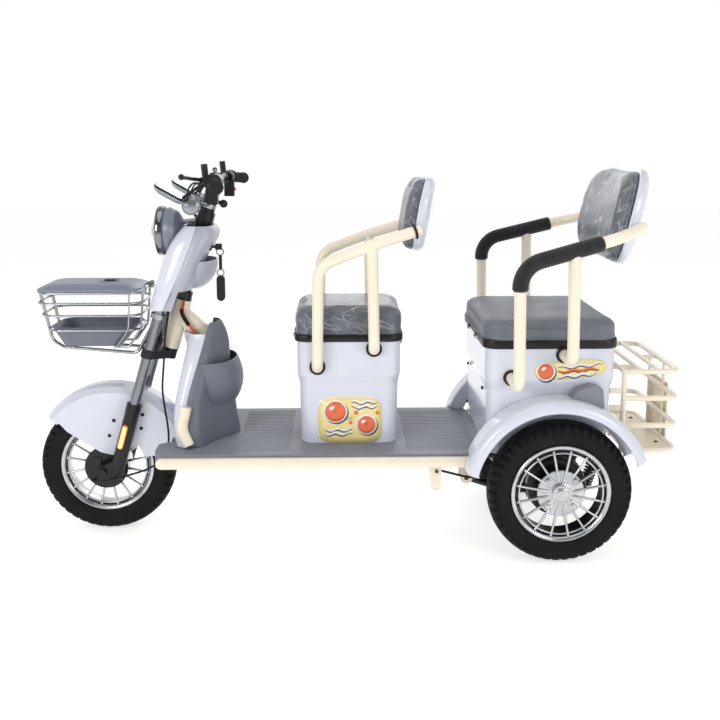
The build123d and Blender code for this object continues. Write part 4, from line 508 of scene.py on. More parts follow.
# profiles of (radius, distance out from the wheel's middle)
frontHub = [(0, 42), (20, 42), (22, 41), (24, 37), (56, 35), (61, 33), (62, 30), (62, -30), (61, -35), (56, -38),
            (24, -40), (20, -42), (6.4, -42)]
rearHub = [(0, 46), (10, 45.8), (19, 44.8), (21, 43.4), (22, 41.6), (24.5, 42.2), (26.6, 41.8), (27, 40),
           (27.5, 34), (30, 32.5), (34, 31.5), (60, 29.5), (65.5, 28.6), (67, 26.5), (66.6, 22), (64, 20.5),
           (36, 20), (34, 18), (34, -18), (40, -20), (12.4, -20)]
nutProfile = [(0, 13.5), (4.5, 13), (6.2, 11.5), (6.8, 9), (8.6, 8.6), (10.2, 6), (10.5, -2)]
barrelProfile = [(123.6, -36), (122.8, -35), (122.8, 16), (123.6, 17)]
drumProfile = [(83, -24), (84, -27), (84, -61), (83, -64), (78.5, -64), (78, -60), (78, -28), (34.2, -27),
               (34.2, -20), (78, -20.4), (81.5, -21.2)]
# black ring between the lip and the inner ring: painted shade for the shadow deep in the rim
shadeRingProfile = [(118, 24.5), (124.2, 24.5), (124.2, 27.5), (118, 27.5)]
valveSizes = np.array((5, 4.4, 4, 3.6, 3.2, 2.6, 2.6, 3, 2.8))

for name, (centre, body) in tyre["axles"].items():
    rim = name.replace("tyre", "rim")
    out = 1 if "right" in name else -1
    centre = np.array(centre)

    def closedRing(profile):
        return revolved(np.array(profile) * mm, centre, (0, out, 0), wheel["sides"], True)
    if name == "front_tyre":
        parts = rimParts(centre, out, frontHub, 58, (26, 28))
    else:
        parts = rimParts(centre, out, rearHub, 33, (30.5, 30))
        nut = revolved(np.array(nutProfile) * mm, centre + (wheel["nutCircle"] * mm, out * 25 * mm, 0),
                       (0, out, 0), 24)
        parts.append(repeated(nut, centre, wheel["nuts"], np.pi / wheel["nuts"]))
        addPiece(rim + "_barrel", [closedRing(barrelProfile)], powderBlack, body)
        addPiece(rim.replace("rim", "drum"), [closedRing(drumProfile)], powderBlack, body)
    # the black ring is painted shade, not a part of the rim
    addPiece(rim + "_shade_ring", [closedRing(shadeRingProfile)], nylonBlack, body)
    addPiece(rim + "_polished", parts, polishedAluminium, body, (rim,), crease=40)
    stem = np.linspace(0, 1, 9)[:, None]
    stemPath = centre + ((124 - 17 * stem) * np.array((0.8, 0, 0.6))
                         + (14 + 12 * stem ** 2) * np.array((0, out, 0))) * mm
    addPiece(rim + "_valve", [tubeAlong(stemPath, valveSizes * mm, 12, up=(0, 1, 0))], rubberBlack, body)
print("wheels made")


# cushions and back pads

def hillNoise(points, seed, waves, sizes, sharp):
    # Sum of folded sine waves in random directions: each crest is a thin ridge. Sizes are wavelengths in metres.
    draw = np.random.default_rng(seed)
    total = np.zeros(len(points))
    for size in np.geomspace(sizes[0], sizes[1], waves):
        ways = draw.normal(size=(3, 3))
        ways /= np.linalg.norm(ways, axis=1)[:, None]
        bend = np.sin(points @ ways[1] * 2 * np.pi / (size * 2.7) + draw.uniform(0, 6))
        wave = points @ ways[0] * 2 * np.pi / size + 1.6 * bend + draw.uniform(0, 6)
        total += (1 - np.abs(np.sin(wave / 2))) ** sharp * np.clip(0.5 + points @ ways[2] * 5, 0.15, 1)
    return total / waves


def padGrid(halfWide, halfLong, corner, height, crown, round_, tuck=0.0, rings=22):
    # Closed pad between its base at 0 and its height: rows run from the middle of the base, out over the
    # base's edge, up the side, round the shoulder and in over the crown to the middle of the top.
    bend = np.linspace(0, np.pi / 2, 8)
    inset = np.concatenate([[3.5, 1.2, 0.3, 0, 0, 0.4], round_ * (1 - np.cos(bend))[1:]]) * mm
    rise = np.concatenate([[0, 1.2, 3.5, 8, height * 500 - round_ * 0.5, height * 1000 - round_],
                           height * 1000 - round_ + (round_ * np.sin(bend))[1:]]) * mm
    rows, base = [], roundedOutline(halfWide, halfLong, corner)
    pull = tuck * (np.cos(np.pi * base[:, 0] / (2 * halfWide)) ** 2
                   + np.cos(np.pi * base[:, 1] / (2 * halfLong)) ** 2)
    base = base - unitRows(base) * pull[:, None]
    for scale in (0, 0.3, 0.6, 0.85, 0.96):
        rows.append(np.column_stack([base * scale * (1 - inset[0] / halfWide), np.zeros(len(base))]))
    for gap, high in zip(inset, rise):
        shrink = np.array((1 - gap / halfWide, 1 - gap / halfLong))
        rows.append(np.column_stack([base * shrink, np.full(len(base), high)]))
    top = rows[-1]
    for scale in np.linspace(1, 0, rings)[1:]:
        rows.append(np.column_stack([top[:, :2] * scale, top[:, 2] + crown * (1 - scale ** 2.4)]))
    return np.array(rows)


def unitRows(vectors):
    return vectors / np.maximum(np.linalg.norm(vectors, axis=-1, keepdims=True), 1e-9)


def plumped(name, shape, voxel, pressure, cap, hold):
    # Pressure pushes the cloth out and its seams hold it back. Points where hold is 0 stay where they are.
    piece = bpy.data.objects.new(name, meshOf(name, shape))
    bpy.context.collection.objects.link(piece)
    bpy.context.view_layer.objects.active = piece
    remesh = piece.modifiers.new("even", "REMESH")
    remesh.mode = "VOXEL"
    remesh.voxel_size = voxel
    bakeModifiers(piece)
    start = pointsOf(piece)
    cloth = piece.modifiers.new("cloth", "CLOTH")
    cloth.settings.quality = 5
    cloth.settings.use_pressure = True
    cloth.settings.uniform_pressure_force = pressure
    cloth.settings.effector_weights.gravity = 0
    cloth.settings.tension_stiffness = 18
    cloth.settings.bending_stiffness = 1.5
    for step in range(1, 21):
        bpy.context.scene.frame_set(step)
    bakeModifiers(piece)
    bpy.context.scene.frame_set(1)
    moved = pointsOf(piece) - start
    far = np.linalg.norm(moved, axis=1, keepdims=True)
    moved *= np.minimum(1, cap / np.maximum(far, 1e-9))
    setPoints(piece, start + moved * hold(start)[:, None])
    finer = piece.modifiers.new("finer", "SUBSURF")
    finer.levels = finer.render_levels = 1
    bakeModifiers(piece)
    return piece


def bakeModifiers(piece):
    graph = bpy.context.evaluated_depsgraph_get()
    mesh = bpy.data.meshes.new_from_object(piece.evaluated_get(graph), depsgraph=graph)
    piece.modifiers.clear()
    old = piece.data
    piece.data = mesh
    bpy.data.meshes.remove(old)


def pointsOf(piece):
    points = np.zeros(len(piece.data.vertices) * 3, np.float32)
    piece.data.vertices.foreach_get("co", points)
    return points.reshape(-1, 3).astype(float)


def setPoints(piece, points):
    piece.data.vertices.foreach_set("co", np.ascontiguousarray(points, np.float32).ravel())
    piece.data.update()


def normalsOf(piece):
    normals = np.zeros(len(piece.data.vertices) * 3, np.float32)
    piece.data.vertices.foreach_get("normal", normals)
    return normals.reshape(-1, 3).astype(float)


def wrinkled(piece, seed, height, sizes=(0.02, 0.09), sharp=5, waves=9, keep=None):
    points = pointsOf(piece)
    push = hillNoise(points, seed, waves, sizes, sharp) * height
    if keep is not None:
        push *= keep(points)
    setPoints(piece, points + normalsOf(piece) * push[:, None])


def finishPad(piece, material, body, replaced):
    piece.data.materials.clear()
    piece.data.materials.append(material)
    piece.data.polygons.foreach_set("use_smooth", np.ones(len(piece.data.polygons), bool))
    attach(piece, body)
    if replaced:
        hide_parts(*replaced)


seats = {
    "mid_seat_pad": {"middle": (-13, 0), "half": (156, 140), "corner": 46, "base": 620.6, "height": 76,
                     "crown": 17, "round": 25, "material": vinylUnderFilm, "body": "mid_seat_lid",
                     "node": "mid_cushion", "cap": 6, "wrinkle": 1.2, "seed": 3},
    "rear_seat_pad": {"middle": (552, 0), "half": (191, 229), "corner": 58, "base": 620.6, "height": 54,
                      "crown": 6, "round": 20, "material": vinylGrey, "body": "rear_seat_lid",
                      "node": "rear_cushion", "cap": 5, "wrinkle": 0.5, "seed": 5},
}
for name, s in seats.items():
    shape = padGrid(s["half"][0] * mm, s["half"][1] * mm, s["corner"] * mm, s["height"] * mm, s["crown"] * mm,
                    s["round"], tuck=2 * mm)
    place = np.array((s["middle"][0], s["middle"][1], s["base"])) * mm
    lowest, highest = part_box(s["node"])

    def hold(points):
        return softStep(points[:, 2], place[2] + 2 * mm, place[2] + 14 * mm)
    pad = plumped(name, grid(shape + place), 5 * mm, 4.0, s["cap"] * mm, hold)
    wrinkled(pad, s["seed"], s["wrinkle"] * mm, keep=hold)
    points = pointsOf(pad)
    setPoints(pad, np.clip(points, np.array(lowest) - (0.4 * mm, 0.4 * mm, 0), np.array(highest)))
    finishPad(pad, s["material"], s["body"], (s["node"],))
print("seat pads made")

backs = {
    "mid_back_pad": {"foot": (135, 863), "lean": 10, "half": 128, "high": 212, "depth": 40, "bend": 700, "corner": 76,
                     "crown": 9, "round": 20, "cap": 6, "wrinkle": 1.0, "seed": 11},
    "rear_back_pad": {"foot": (708, 834), "lean": 12, "half": 219, "high": 265, "depth": 46, "bend": 900,
                      "corner": 105, "crown": 11, "round": 22, "cap": 7, "wrinkle": 1.2, "seed": 17},
}
for name, b in backs.items():
    # the pad's base is its back; across, up and forward make its own frame
    across = np.array((0, 1, 0))
    tilt = math.radians(b["lean"])
    up = np.array((math.sin(tilt), 0, math.cos(tilt)))
    forward = np.array((-math.cos(tilt), 0, math.sin(tilt)))
    foot = np.array((b["foot"][0], 0, b["foot"][1])) * mm
    deep = (b["depth"] - b["crown"] - 1.0) * mm
    shape = padGrid(b["half"] * mm, b["high"] / 2 * mm, b["corner"] * mm, deep, b["crown"] * mm, b["round"],
                    tuck=1 * mm)
    sides = (b["bend"] - np.sqrt(b["bend"] ** 2 - (shape[..., 0] / mm) ** 2)) * mm
    high = shape[..., 1] + (b["high"] / 2 + 1) * mm
    ahead = shape[..., 2] - (b["depth"] - 0.5) * mm + sides
    points = foot + shape[..., :1] * across + high[..., None] * up + ahead[..., None] * forward

    def hold(points):
        u = points[:, 1] / mm
        depth = (points - foot) @ forward / mm - (b["bend"] - np.sqrt(b["bend"] ** 2 - np.minimum(u ** 2, 1e5)))
        return softStep(depth + b["depth"], 3, 12)
    pad = plumped(name, grid(points), 5 * mm, 4.0, b["cap"] * mm, hold)
    wrinkled(pad, b["seed"], b["wrinkle"] * mm, sizes=(0.025, 0.11), sharp=4, keep=hold)
    finishPad(pad, vinylUnderFilm, "chassis", ("back_pads",))
print("back pads made")


# foam armrests and ribbed hand grips

def filletedRoute(corners, radii, spacing):
    # points along straight runs joined by arcs that touch both runs of a corner
    corners = np.asarray(corners, float)
    route = [corners[:1]]
    last = corners[0]
    for i, radius in enumerate(radii):
        into, away = unit(corners[i + 1] - corners[i]), unit(corners[i + 2] - corners[i + 1])
        turn = math.acos(np.clip(into @ away, -1, 1))
        cut = radius * math.tan(turn / 2)
        middle = corners[i + 1] + unit(away - into) * radius / math.cos(turn / 2)
        start, end = corners[i + 1] - into * cut, corners[i + 1] + away * cut
        steps = np.linspace(0, 1, max(2, int(np.linalg.norm(start - last) / spacing)))[1:, None]
        route.append(last + (start - last) * steps)
        angle = np.linspace(0, turn, max(4, int(radius * turn / spacing)))[1:, None]
        route.append(middle + (start - middle) * np.cos(angle) + into * radius * np.sin(angle))
        last = end
    steps = np.linspace(0, 1, max(2, int(np.linalg.norm(corners[-1] - last) / spacing)))[1:, None]
    route.append(last + (corners[-1] - last) * steps)
    return np.concatenate(route)


armrest = {"radius": 22, "tube": 17, "rings": 7.5, "depth": 0.55, "low": 779, "end": 656, "bends": (34, 72, 140),
           "corners": ((440, 225.3, 518), (440, 342, 518), (434, 342, 846), (702, 307, 916), (784, 240, 938))}
arms = []
for side in (-1, 1):
    route = filletedRoute(np.array(armrest["corners"]) * (1, side, 1), armrest["bends"], 1.5)
    onPost = route[:, 2] > armrest["low"]
    beforeEnd = route[:, 0] < armrest["end"]
    path = route[onPost & beforeEnd]
    walked = np.concatenate([[0], np.cumsum(np.linalg.norm(np.diff(path, axis=0), axis=1))])
    ends = softStep(walked, -1, 5) * softStep(walked[-1] - walked, -1, 5)
    size = armrest["tube"] + (armrest["radius"] - armrest["tube"]) * ends \
        + armrest["depth"] * (np.cos(walked / armrest["rings"] * 2 * np.pi) - 1)
    arms.append(tubeAlong(path * mm, size * mm, 40, up=(0.35, 1, 0.1)))
sleeve = addPiece("armrest_foam", arms, foamCharcoal, "chassis", ("armrest_grips",), crease=60)

# the bar's two ends, the grip's reach along y, and its ribs, in millimetres
grip = {"inner": (-396.3, 150, 1063), "outer": (-352.3, 335, 1052), "from": 217, "to": 339.5, "radius": 15.4,
        "rib": 0.9, "pitch": 5}
gripParts = []
for side in (-1, 1):
    inner, outer = np.array(grip["inner"]), np.array(grip["outer"])
    y = np.linspace(grip["from"], grip["to"], 150)
    path = inner + (outer - inner) * ((y - inner[1]) / (outer[1] - inner[1]))[:, None]
    path[:, 1] *= side
    walked = y - grip["from"]
    flange = 6.5 * (1 - softStep(walked, 4, 5.5)) + 2.4 * softStep(walked, 115, 117)
    ribs = grip["rib"] * np.cos(walked / grip["pitch"] * 2 * np.pi)
    size = grip["radius"] + ribs * softStep(walked, 8, 12) * (1 - softStep(walked, 108, 112)) + flange
    size *= np.where(walked > 121.5, 0.8, 1)
    gripParts.append(tubeAlong(path * mm, size * mm, 40, up=(0, 0, 1)))
addPiece("ribbed_hand_grips", gripParts, rubberBlack, "steering", ("hand_grips",), crease=50)
print("foam and grips made")


# fork: amber side lights, and the mudguard's screws

lean = math.radians(16.5)
alongAxis = np.array((math.sin(lean), 0, math.cos(lean)))
aheadOfAxis = np.array((-math.cos(lean), 0, math.sin(lean)))
headFoot = np.array((-545, 0, 563))


def onSteering(along, ahead=0.0, y=0.0):
    # point by its distance along the steering axis and square ahead of it, in millimetres
    return headFoot + alongAxis * along + aheadOfAxis * ahead + np.array((0, y, 0))


def domed(radius, height, centre, axis, sides=28, depth=1.0):
    # low dome on a short rim: a screw's or a bolt's head
    turn = np.linspace(0, np.pi / 2, 7)
    profile = np.concatenate([np.stack([radius * np.sin(turn), height * (0.45 + 0.55 * np.cos(turn))], -1),
                              [(radius, 0), (radius * 0.96, -depth)]])
    return revolved(profile * mm, np.asarray(centre) * mm, axis, sides)


def pill(start, end, radius, sides=20, up=(0, 1, 0), flat=1.0):
    # bar with round ends between two points
    start, end = np.asarray(start, float), np.asarray(end, float)
    reach = np.linalg.norm(end - start)
    s = np.concatenate([radius * (1 - np.cos(np.linspace(0.05, np.pi / 2, 7))),
                        reach - radius * (1 - np.cos(np.linspace(np.pi / 2, 0.05, 7)))])
    near = np.minimum(s, reach - s)
    size = np.sqrt(np.maximum(radius ** 2 - np.maximum(radius - near, 0) ** 2, 0.01))
    path = start + (end - start) * (s / reach)[:, None]
    return tubeAlong(path * mm, size * mm, sides, up, flat)


strip = {"low": -318, "high": -240, "ahead": 56, "core": 6.2, "rim": 9.2, "out": 96.2, "proud": 3.6}
cores, rims, screws = [], [], []
for side in (-1, 1):
    for bars, grow, radius, out in ((cores, 4, strip["core"], strip["out"] + strip["proud"]),
                                    (rims, 0, strip["rim"], strip["out"])):
        bars.append(pill(onSteering(strip["low"] + grow, strip["ahead"], side * out),
                         onSteering(strip["high"] - grow, strip["ahead"], side * out), radius, flat=0.8))
    for place in ((-50, 350), (-51, 303), (31, 367), (38, 325)):
        legX = -545 + (place[1] - 563) * 0.2962 - 54.2
        screws.append(domed(5.4, 2.8, (legX + place[0], side * 55, place[1]), (0, side, 0)))
addPiece("fork_light_cores", cores, glowAmber, "steering")
addPiece("fork_light_rims", rims, lensAmber, "steering")
addPiece("mudguard_screws", screws, nylonBlack, "steering")


# headlamp: chrome ring, reflector, bulb and the bowl's darker back

lampAt = np.array((-559, 0, 910.0))


def lampPart(profile, sides, closed=False):
    # turned about the lamp's axis: radius, then distance back from its rim
    return [revolved(np.array(profile) * mm, lampAt * mm, (1, 0, 0), sides, closed)]


ring = [(63.6, -8.6), (66, -10.6), (69.4, -10.2), (71.8, -7.4), (72.6, -2), (72.6, 5), (71.8, 9.2), (71.1, 9.4),
        (71.1, -4), (66, -9), (64, -8)]
addPiece("headlamp_ring", lampPart(ring, 96, True), chromePlate, "steering", crease=50)
bowlLine = np.linspace(0, 1, 24)
reflector = np.stack([60 * np.sqrt(bowlLine) + 0.6, 50 - 40 * bowlLine], -1)
backing = reflector[::-1] + (0.9, 0.6)
addPiece("headlamp_reflector", lampPart(np.concatenate([reflector, backing]), 72, True), chromePlate, "steering",
         crease=60)
bulb = [(0, -4), (4, -3), (6.5, 1), (7, 8), (6, 14), (8.5, 18), (9, 30), (9, 46), (0, 46)]
addPiece("headlamp_bulb", lampPart(bulb, 32), lensClear, "steering", crease=50)
cap = [(0, 67.9), (18, 65.6), (36.6, 61.6), (50, 53.6), (58.4, 46.8), (60.4, 43.4), (59.9, 42.8), (57, 45), (34, 60),
       (0, 66)]
addPiece("headlamp_back_cap", lampPart(cap, 72), capSlate, "steering", crease=50)

# turn signals: satin domes facing out, each with a bead round it
signal = {"place": (-457, 92, 989), "bead": ((24.8, 7), (26, 8), (26, 10), (24.6, 11)),
          "housing": ((17.5, -24.5), (19.2, -18), (22.4, -8), (24.5, 4), (24.9, 8), (24.3, 10.4), (21, 13.5),
                      (14, 16.6), (7, 17.9), (0, 18.2))}
domes = []
for side in (-1, 1):
    for part, closed in (("housing", False), ("bead", True)):
        domes.append(revolved(np.array(signal[part]) * mm, np.array(signal["place"]) * (1, side, 1) * mm,
                              (0, side, 0), 48, closed))
addPiece("turn_signal_shells", domes, satinGrey, "steering", crease=45)

# mirrors: satin shells below a black edge, glass on top
shells, glasses = [], []
tilt = math.radians(29)
glassLong = np.array((math.cos(tilt), 0, -math.sin(tilt)))
glassUp = np.array((math.sin(tilt), 0, math.cos(tilt)))
for side in (-1, 1):
    middleOfGlass = np.array((-399.3 - 106, side * 136, 1055 - 26.0))

    def level(wide, deep, corner, drop):
        edge = roundedOutline(wide / 2, deep / 2, corner)
        return middleOfGlass + edge[:, :1] * glassLong + edge[:, 1:] * np.array((0, 1, 0)) + drop * glassUp
    rows = [level(w, d, c, h) for w, d, c, h in ((97, 63, 22.5, -4.2), (98, 64.4, 23, -4.6), (94.5, 59, 22, -7.5),
                                                 (86, 50, 20, -12.5), (77, 43, 18, -15.8), (70, 38, 16, -17))]
    shells.append(grid(capped(np.array(rows)) * mm))
    rows = [level(w, d, c, h) for w, d, c, h in ((92, 58, 20.5, 0.2), (93, 59, 21, 0.7), (92, 58, 20.5, 1.2))]
    glasses.append(grid(capped(np.array(rows)) * mm))
addPiece("mirror_shells", shells, satinGrey, "steering", crease=50)
addPiece("mirror_glasses", glasses, mirrorGlass, "steering", crease=50)

# silver ring on the stem, and the red switch
stemRing = [(21.2, 0), (22.4, 0.6), (22.8, 2.5), (22.8, 10.5), (22.4, 12.4), (21.2, 13)]
addPiece("stem_ring", [revolved(np.array(stemRing) * mm, onSteering(432) * mm, alongAxis, 56, True)], nickelSatin,
         "steering", crease=50)
redButton = [pill((-366.5, 189, 1022), (-366.5, 197, 1022), 5.5, up=(0, 0, 1), flat=1.1)]
addPiece("red_switch", redButton, paintRed, "steering")

# control cables from the lever housings into the fairing, and the harness's taped stretch
cables = []
for side in (-1, 1):
    for start, swing, radius in (((-414, 186), 26, 2.6), ((-404, 181), 12, 2.2)):
        route = [(start[0], side * start[1], 1050), (start[0] - 22, side * (start[1] - 14), 1056),
                 (start[0] - 46, side * (start[1] - 60), 1040 - swing * 0.4),
                 (-470 + swing * 0.3, side * 74, 1000 - swing), (-459 + swing * 0.4, side * 44, 955),
                 (-452 + swing * 0.4, side * 32, 922)]
        cables.append(tubeAlong(smoothRoute(route, 70) * mm, radius * mm, 12, up=(0.2, 0.1, 1)))
addPiece("lever_cables", cables, rubberBlack, "steering")
harness = [(-497, -33, 706), (-503, -36, 675), (-491, -38, 646), (-468, -38, 613), (-453, -35, 584),
           (-437, -29.7, 558)]
wrap = smoothRoute(harness, 400)[58:190]
ribbing = 6.0 + 0.8 * np.cos(np.arange(len(wrap)) / len(wrap) * 2 * np.pi * 15)
ribbing[[0, 1, -2, -1]] = 5.0
addPiece("harness_wrap", [tubeAlong(wrap * mm, ribbing * mm, 20, up=(0, 1, 0))], rubberBlack, "chassis",
         crease=60)
print("steering details made")


# deck ribs: rows of long raised bars with round ends, in three areas

deck = {"top": 301.0, "high": 1.2, "pitch": 15.5, "wide": 8.4}
areas = [(-335, -182, 0, 208), (-140, 116, 152, 214), (150, 352, 0, 208)]   # x from, x to, |y| from, |y| to
ribParts = []
for low, high, near, far in areas:
    for k in range(int((far - near) / deck["pitch"])):
        y = near + deck["pitch"] * (k + (0.5 if near == 0 else 0.7))
        for side in (-1, 1):
            s = np.concatenate([np.linspace(0, 5, 5), np.linspace(high - low - 5, high - low, 5)])
            across = np.linspace(-1, 1, 9)
            close = np.clip(np.minimum(s, high - low - s) / 5, 0.0, 1)
            width = deck["wide"] / 2 * np.sqrt(np.clip(1 - (1 - close) ** 2, 0.02, 1))
            rise = deck["high"] * (1 - across ** 4) * np.minimum(1, close + 0.25)[:, None]
            rib = np.stack([np.broadcast_to(low + s[:, None], rise.shape), side * y + width[:, None] * across,
                            deck["top"] - 0.1 + rise], -1)
            ribParts.append(grid(rib * mm, closeCols=False))
addPiece("deck_ribs", ribParts, absGrey, "chassis", crease=60, wall=0.05 * mm)


# lid bands and box fittings

def bandLoop(x, halfLong, halfWide, corner, low, high, thick):
    # closed strip round a rounded rectangle: its outer face, top, inner face and bottom
    rows = []
    for grow, z in ((0, low), (0.6, low + 0.8), (0.6, high - 0.8), (0, high), (-thick, high), (-thick, low)):
        edge = roundedOutline(halfLong + grow, halfWide + grow, corner)
        rows.append(np.column_stack([edge[:, 0] + x, edge[:, 1], np.full(len(edge), z)]))
    return grid(np.array(rows) * mm, closeRows=True)


addPiece("mid_lid_band", [bandLoop(-13, 156.2, 142.2, 41, 604, 623.5, 1.4)], nylonBlack, "mid_seat_lid",
         crease=50)
addPiece("rear_lid_band", [bandLoop(552, 189.2, 227.4, 41, 600, 624, 1.4)], nylonBlack, "rear_seat_lid",
         crease=50)
latch = [pill((x, -half, z), (x, half, z), radius, up=(0, 0, 1))
         for x, half, z, radius in ((139.5, 9, 588, 7), (141, 5, 575, 8), (139, 12, 566, 4.5))]
addPiece("mid_box_latch", latch, nylonBlack, "chassis")
bolts = [domed(5, 3, (370, side * 150, z), (-1, 0, 0), depth=3) for side in (-1, 1) for z in (470, 345)]
bolts += [domed(5.5, 3.5, (848.25 + sx * 45, sy * 120, 294), (0, 0, 1)) for sx in (-1, 1) for sy in (-1, 1)]
addPiece("box_bolts", bolts, nylonBlack, "chassis")


# rear shock absorbers: damper, spring seats and a coil

shock = {"low": (675.3, 150, 166.2), "high": (705, 150, 251), "wire": 2.6, "coil": 17.2, "turns": 6.5}
coils, dampers = [], []
for side in (-1, 1):
    low = np.array(shock["low"]) * (1, side, 1)
    high = np.array(shock["high"]) * (1, side, 1)
    run = unit(high - low)
    reach = np.linalg.norm(high - low)
    span = np.array((reach * 0.16, reach * 0.84))
    t = np.linspace(0, 1, 220)
    first = unit(np.cross(run, (0, 1, 0)))
    second = np.cross(run, first)
    turn = t * shock["turns"] * 2 * np.pi
    coil = low + run * (span[0] + (span[1] - span[0]) * t)[:, None] \
        + shock["coil"] * (first * np.cos(turn)[:, None] + second * np.sin(turn)[:, None])
    coils.append(tubeAlong(coil * mm, shock["wire"] * mm, 12, up=tuple(run)))
    damper = [(0, 6), (6, 6), (6, span[0] - 3), (20, span[0] - 3), (20.5, span[0] + 1), (12, span[0] + 2),
              (12, reach * 0.55), (7, reach * 0.57), (7, span[1] - 2), (20.5, span[1] - 1), (20, span[1] + 3),
              (6, span[1] + 3), (6, reach - 6), (0, reach - 6)]
    dampers.append(revolved(np.array(damper) * mm, low * mm, run, 40))
    for end in (low, high):
        eye = [(4.2, -9), (9.6, -9), (10, -8), (10, 8), (9.6, 9), (4.2, 9)]
        dampers.append(revolved(np.array(eye) * mm, end * mm, (0, 1, 0), 36, True))
addPiece("shock_coils", coils, powderBlack, "chassis")
addPiece("shock_dampers", dampers, castAluminium, "chassis", ("rear_shocks",), crease=40)
print("deck, lids and shocks made")


# panels of abstract shapes on the boxes, each layer a film thicker

def leanSide(z):
    return 130 + (z - 301) / 180 * 4


def flatSide(z):
    return 225 + 0 * z


def layOn(flat, side, layer, reach, closeCols=True):
    # flat shapes laid on the box's side, each layer a film thicker
    y = side * (reach(flat[..., 1]) + 0.12 + 0.14 * layer)
    return grid(np.stack([flat[..., 0], y, flat[..., 1]], -1) * mm, closeCols=closeCols)


def blob(x, z, wide, high, power=2.0, turned=0.0, count=56):
    # superellipse: power 2 is an ellipse, higher is squarer
    t = np.linspace(0, 2 * np.pi, count, endpoint=False)
    c, s = np.cos(t), np.sin(t)
    u = wide / 2 * np.sign(c) * np.abs(c) ** (2 / power)
    v = high / 2 * np.sign(s) * np.abs(s) ** (2 / power)
    a = math.radians(turned)
    return np.stack([x + u * math.cos(a) - v * math.sin(a), z + u * math.sin(a) + v * math.cos(a)], -1)


def ribbon(start, end, wide, swell, waves, side, layer, reach, phase=0.0):
    # wavy stripe between two points, thin at its ends
    start, end = np.asarray(start, float), np.asarray(end, float)
    t = np.linspace(0, 1, 60)[:, None]
    run = unit(end - start)
    across = np.array((-run[1], run[0]))
    line = start + (end - start) * t + across * swell * np.sin(t * waves * 2 * np.pi + phase)
    half = wide / 2 * np.sqrt(np.clip(np.sin(np.pi * (0.02 + 0.96 * t)), 0, 1))
    return layOn(np.stack([line + across * half * k for k in (-1, 0, 1)], 1), side, layer, reach, False)


layers = {"Yellow": (printYellow, []), "Coral": (printCoral, []), "White": (printWhite, []),
          "Slate": (printSlate, [])}


def patch(ink, x, z, wide, high, side, layer, reach, power=2.0, turned=0.0):
    # rings from a blob's outline in to its middle
    outline = blob(x, z, wide, high, power, turned)
    rings = np.array((1, 0.75, 0.5, 0.25, 0.02))[:, None, None]
    centre = np.array((x, z))
    layers[ink][1].append(layOn(centre + (outline - centre) * rings, side, layer, reach))


def stripe(ink, start, end, wide, swell, waves, side, layer, reach, phase):
    layers[ink][1].append(ribbon(start, end, wide, swell, waves, side, layer, reach, phase))


for side in (-1, 1):
    # panel on the driver's box
    patch("White", -10, 370, 190, 144, side, 0, leanSide, 5)
    patch("Yellow", -10, 370, 184, 138, side, 1, leanSide, 5)
    for x, z, wide in ((-52, 396, 66), (38, 356, 58)):
        patch("Slate", x + 3, z - 3, wide + 5, wide + 5, side, 2, leanSide)
        patch("White", x, z, wide + 4, wide + 4, side, 3, leanSide)
        patch("Coral", x, z, wide - 6, wide - 6, side, 4, leanSide)
        patch("White", x - wide * 0.16, z + wide * 0.16, wide * 0.26, wide * 0.16, side, 5, leanSide, 2, 35)
    for k, z in enumerate((424, 410, 340, 328)):
        x0, x1 = (-6, 70) if k < 2 else (-84, -2)
        for layer, ink, grow, shift in ((2, "Slate", 3.5, -1.8), (3, "White", 0, 0)):
            stripe(ink, (x0, z + shift), (x1, z + shift + 2), 7.5 + grow, 3.2, 2, side, layer, leanSide, k)
    for x, z, wide in ((8, 392, 13), (24, 398, 9), (-8, 362, 11), (70, 392, 12), (-90, 426, 10)):
        patch("Coral" if wide > 10 else "White", x, z, wide, wide, side, 2, leanSide)
    # smaller panel on the rear box
    patch("Yellow", 604, 541, 204, 54, side, 0, flatSide, 3, 5)
    patch("Slate", 538, 532, 58, 58, side, 1, flatSide)
    patch("White", 536, 535, 55, 55, side, 2, flatSide)
    patch("Coral", 536, 535, 45, 45, side, 3, flatSide)
    patch("White", 530, 543, 14, 9, side, 4, flatSide, 2, 35)
    for k, z in enumerate((554, 540, 526)):
        for layer, ink, grow, shift in ((1, "Slate", 3.5, -1.6), (2, "Coral" if k == 1 else "White", 0, 0)):
            stripe(ink, (570, z + shift - 6), (694 - 8 * k, z + shift + 4), 8 + grow, 3, 2.5, side, layer, flatSide,
                   2 * k)
for name, (material, parts) in layers.items():
    addPiece("box_print_" + name, parts, material, "chassis", crease=80, wall=0.08 * mm)
print("panels made")


# rear mudguards: flat over the tyre, rolled down outside, with a beaded edge

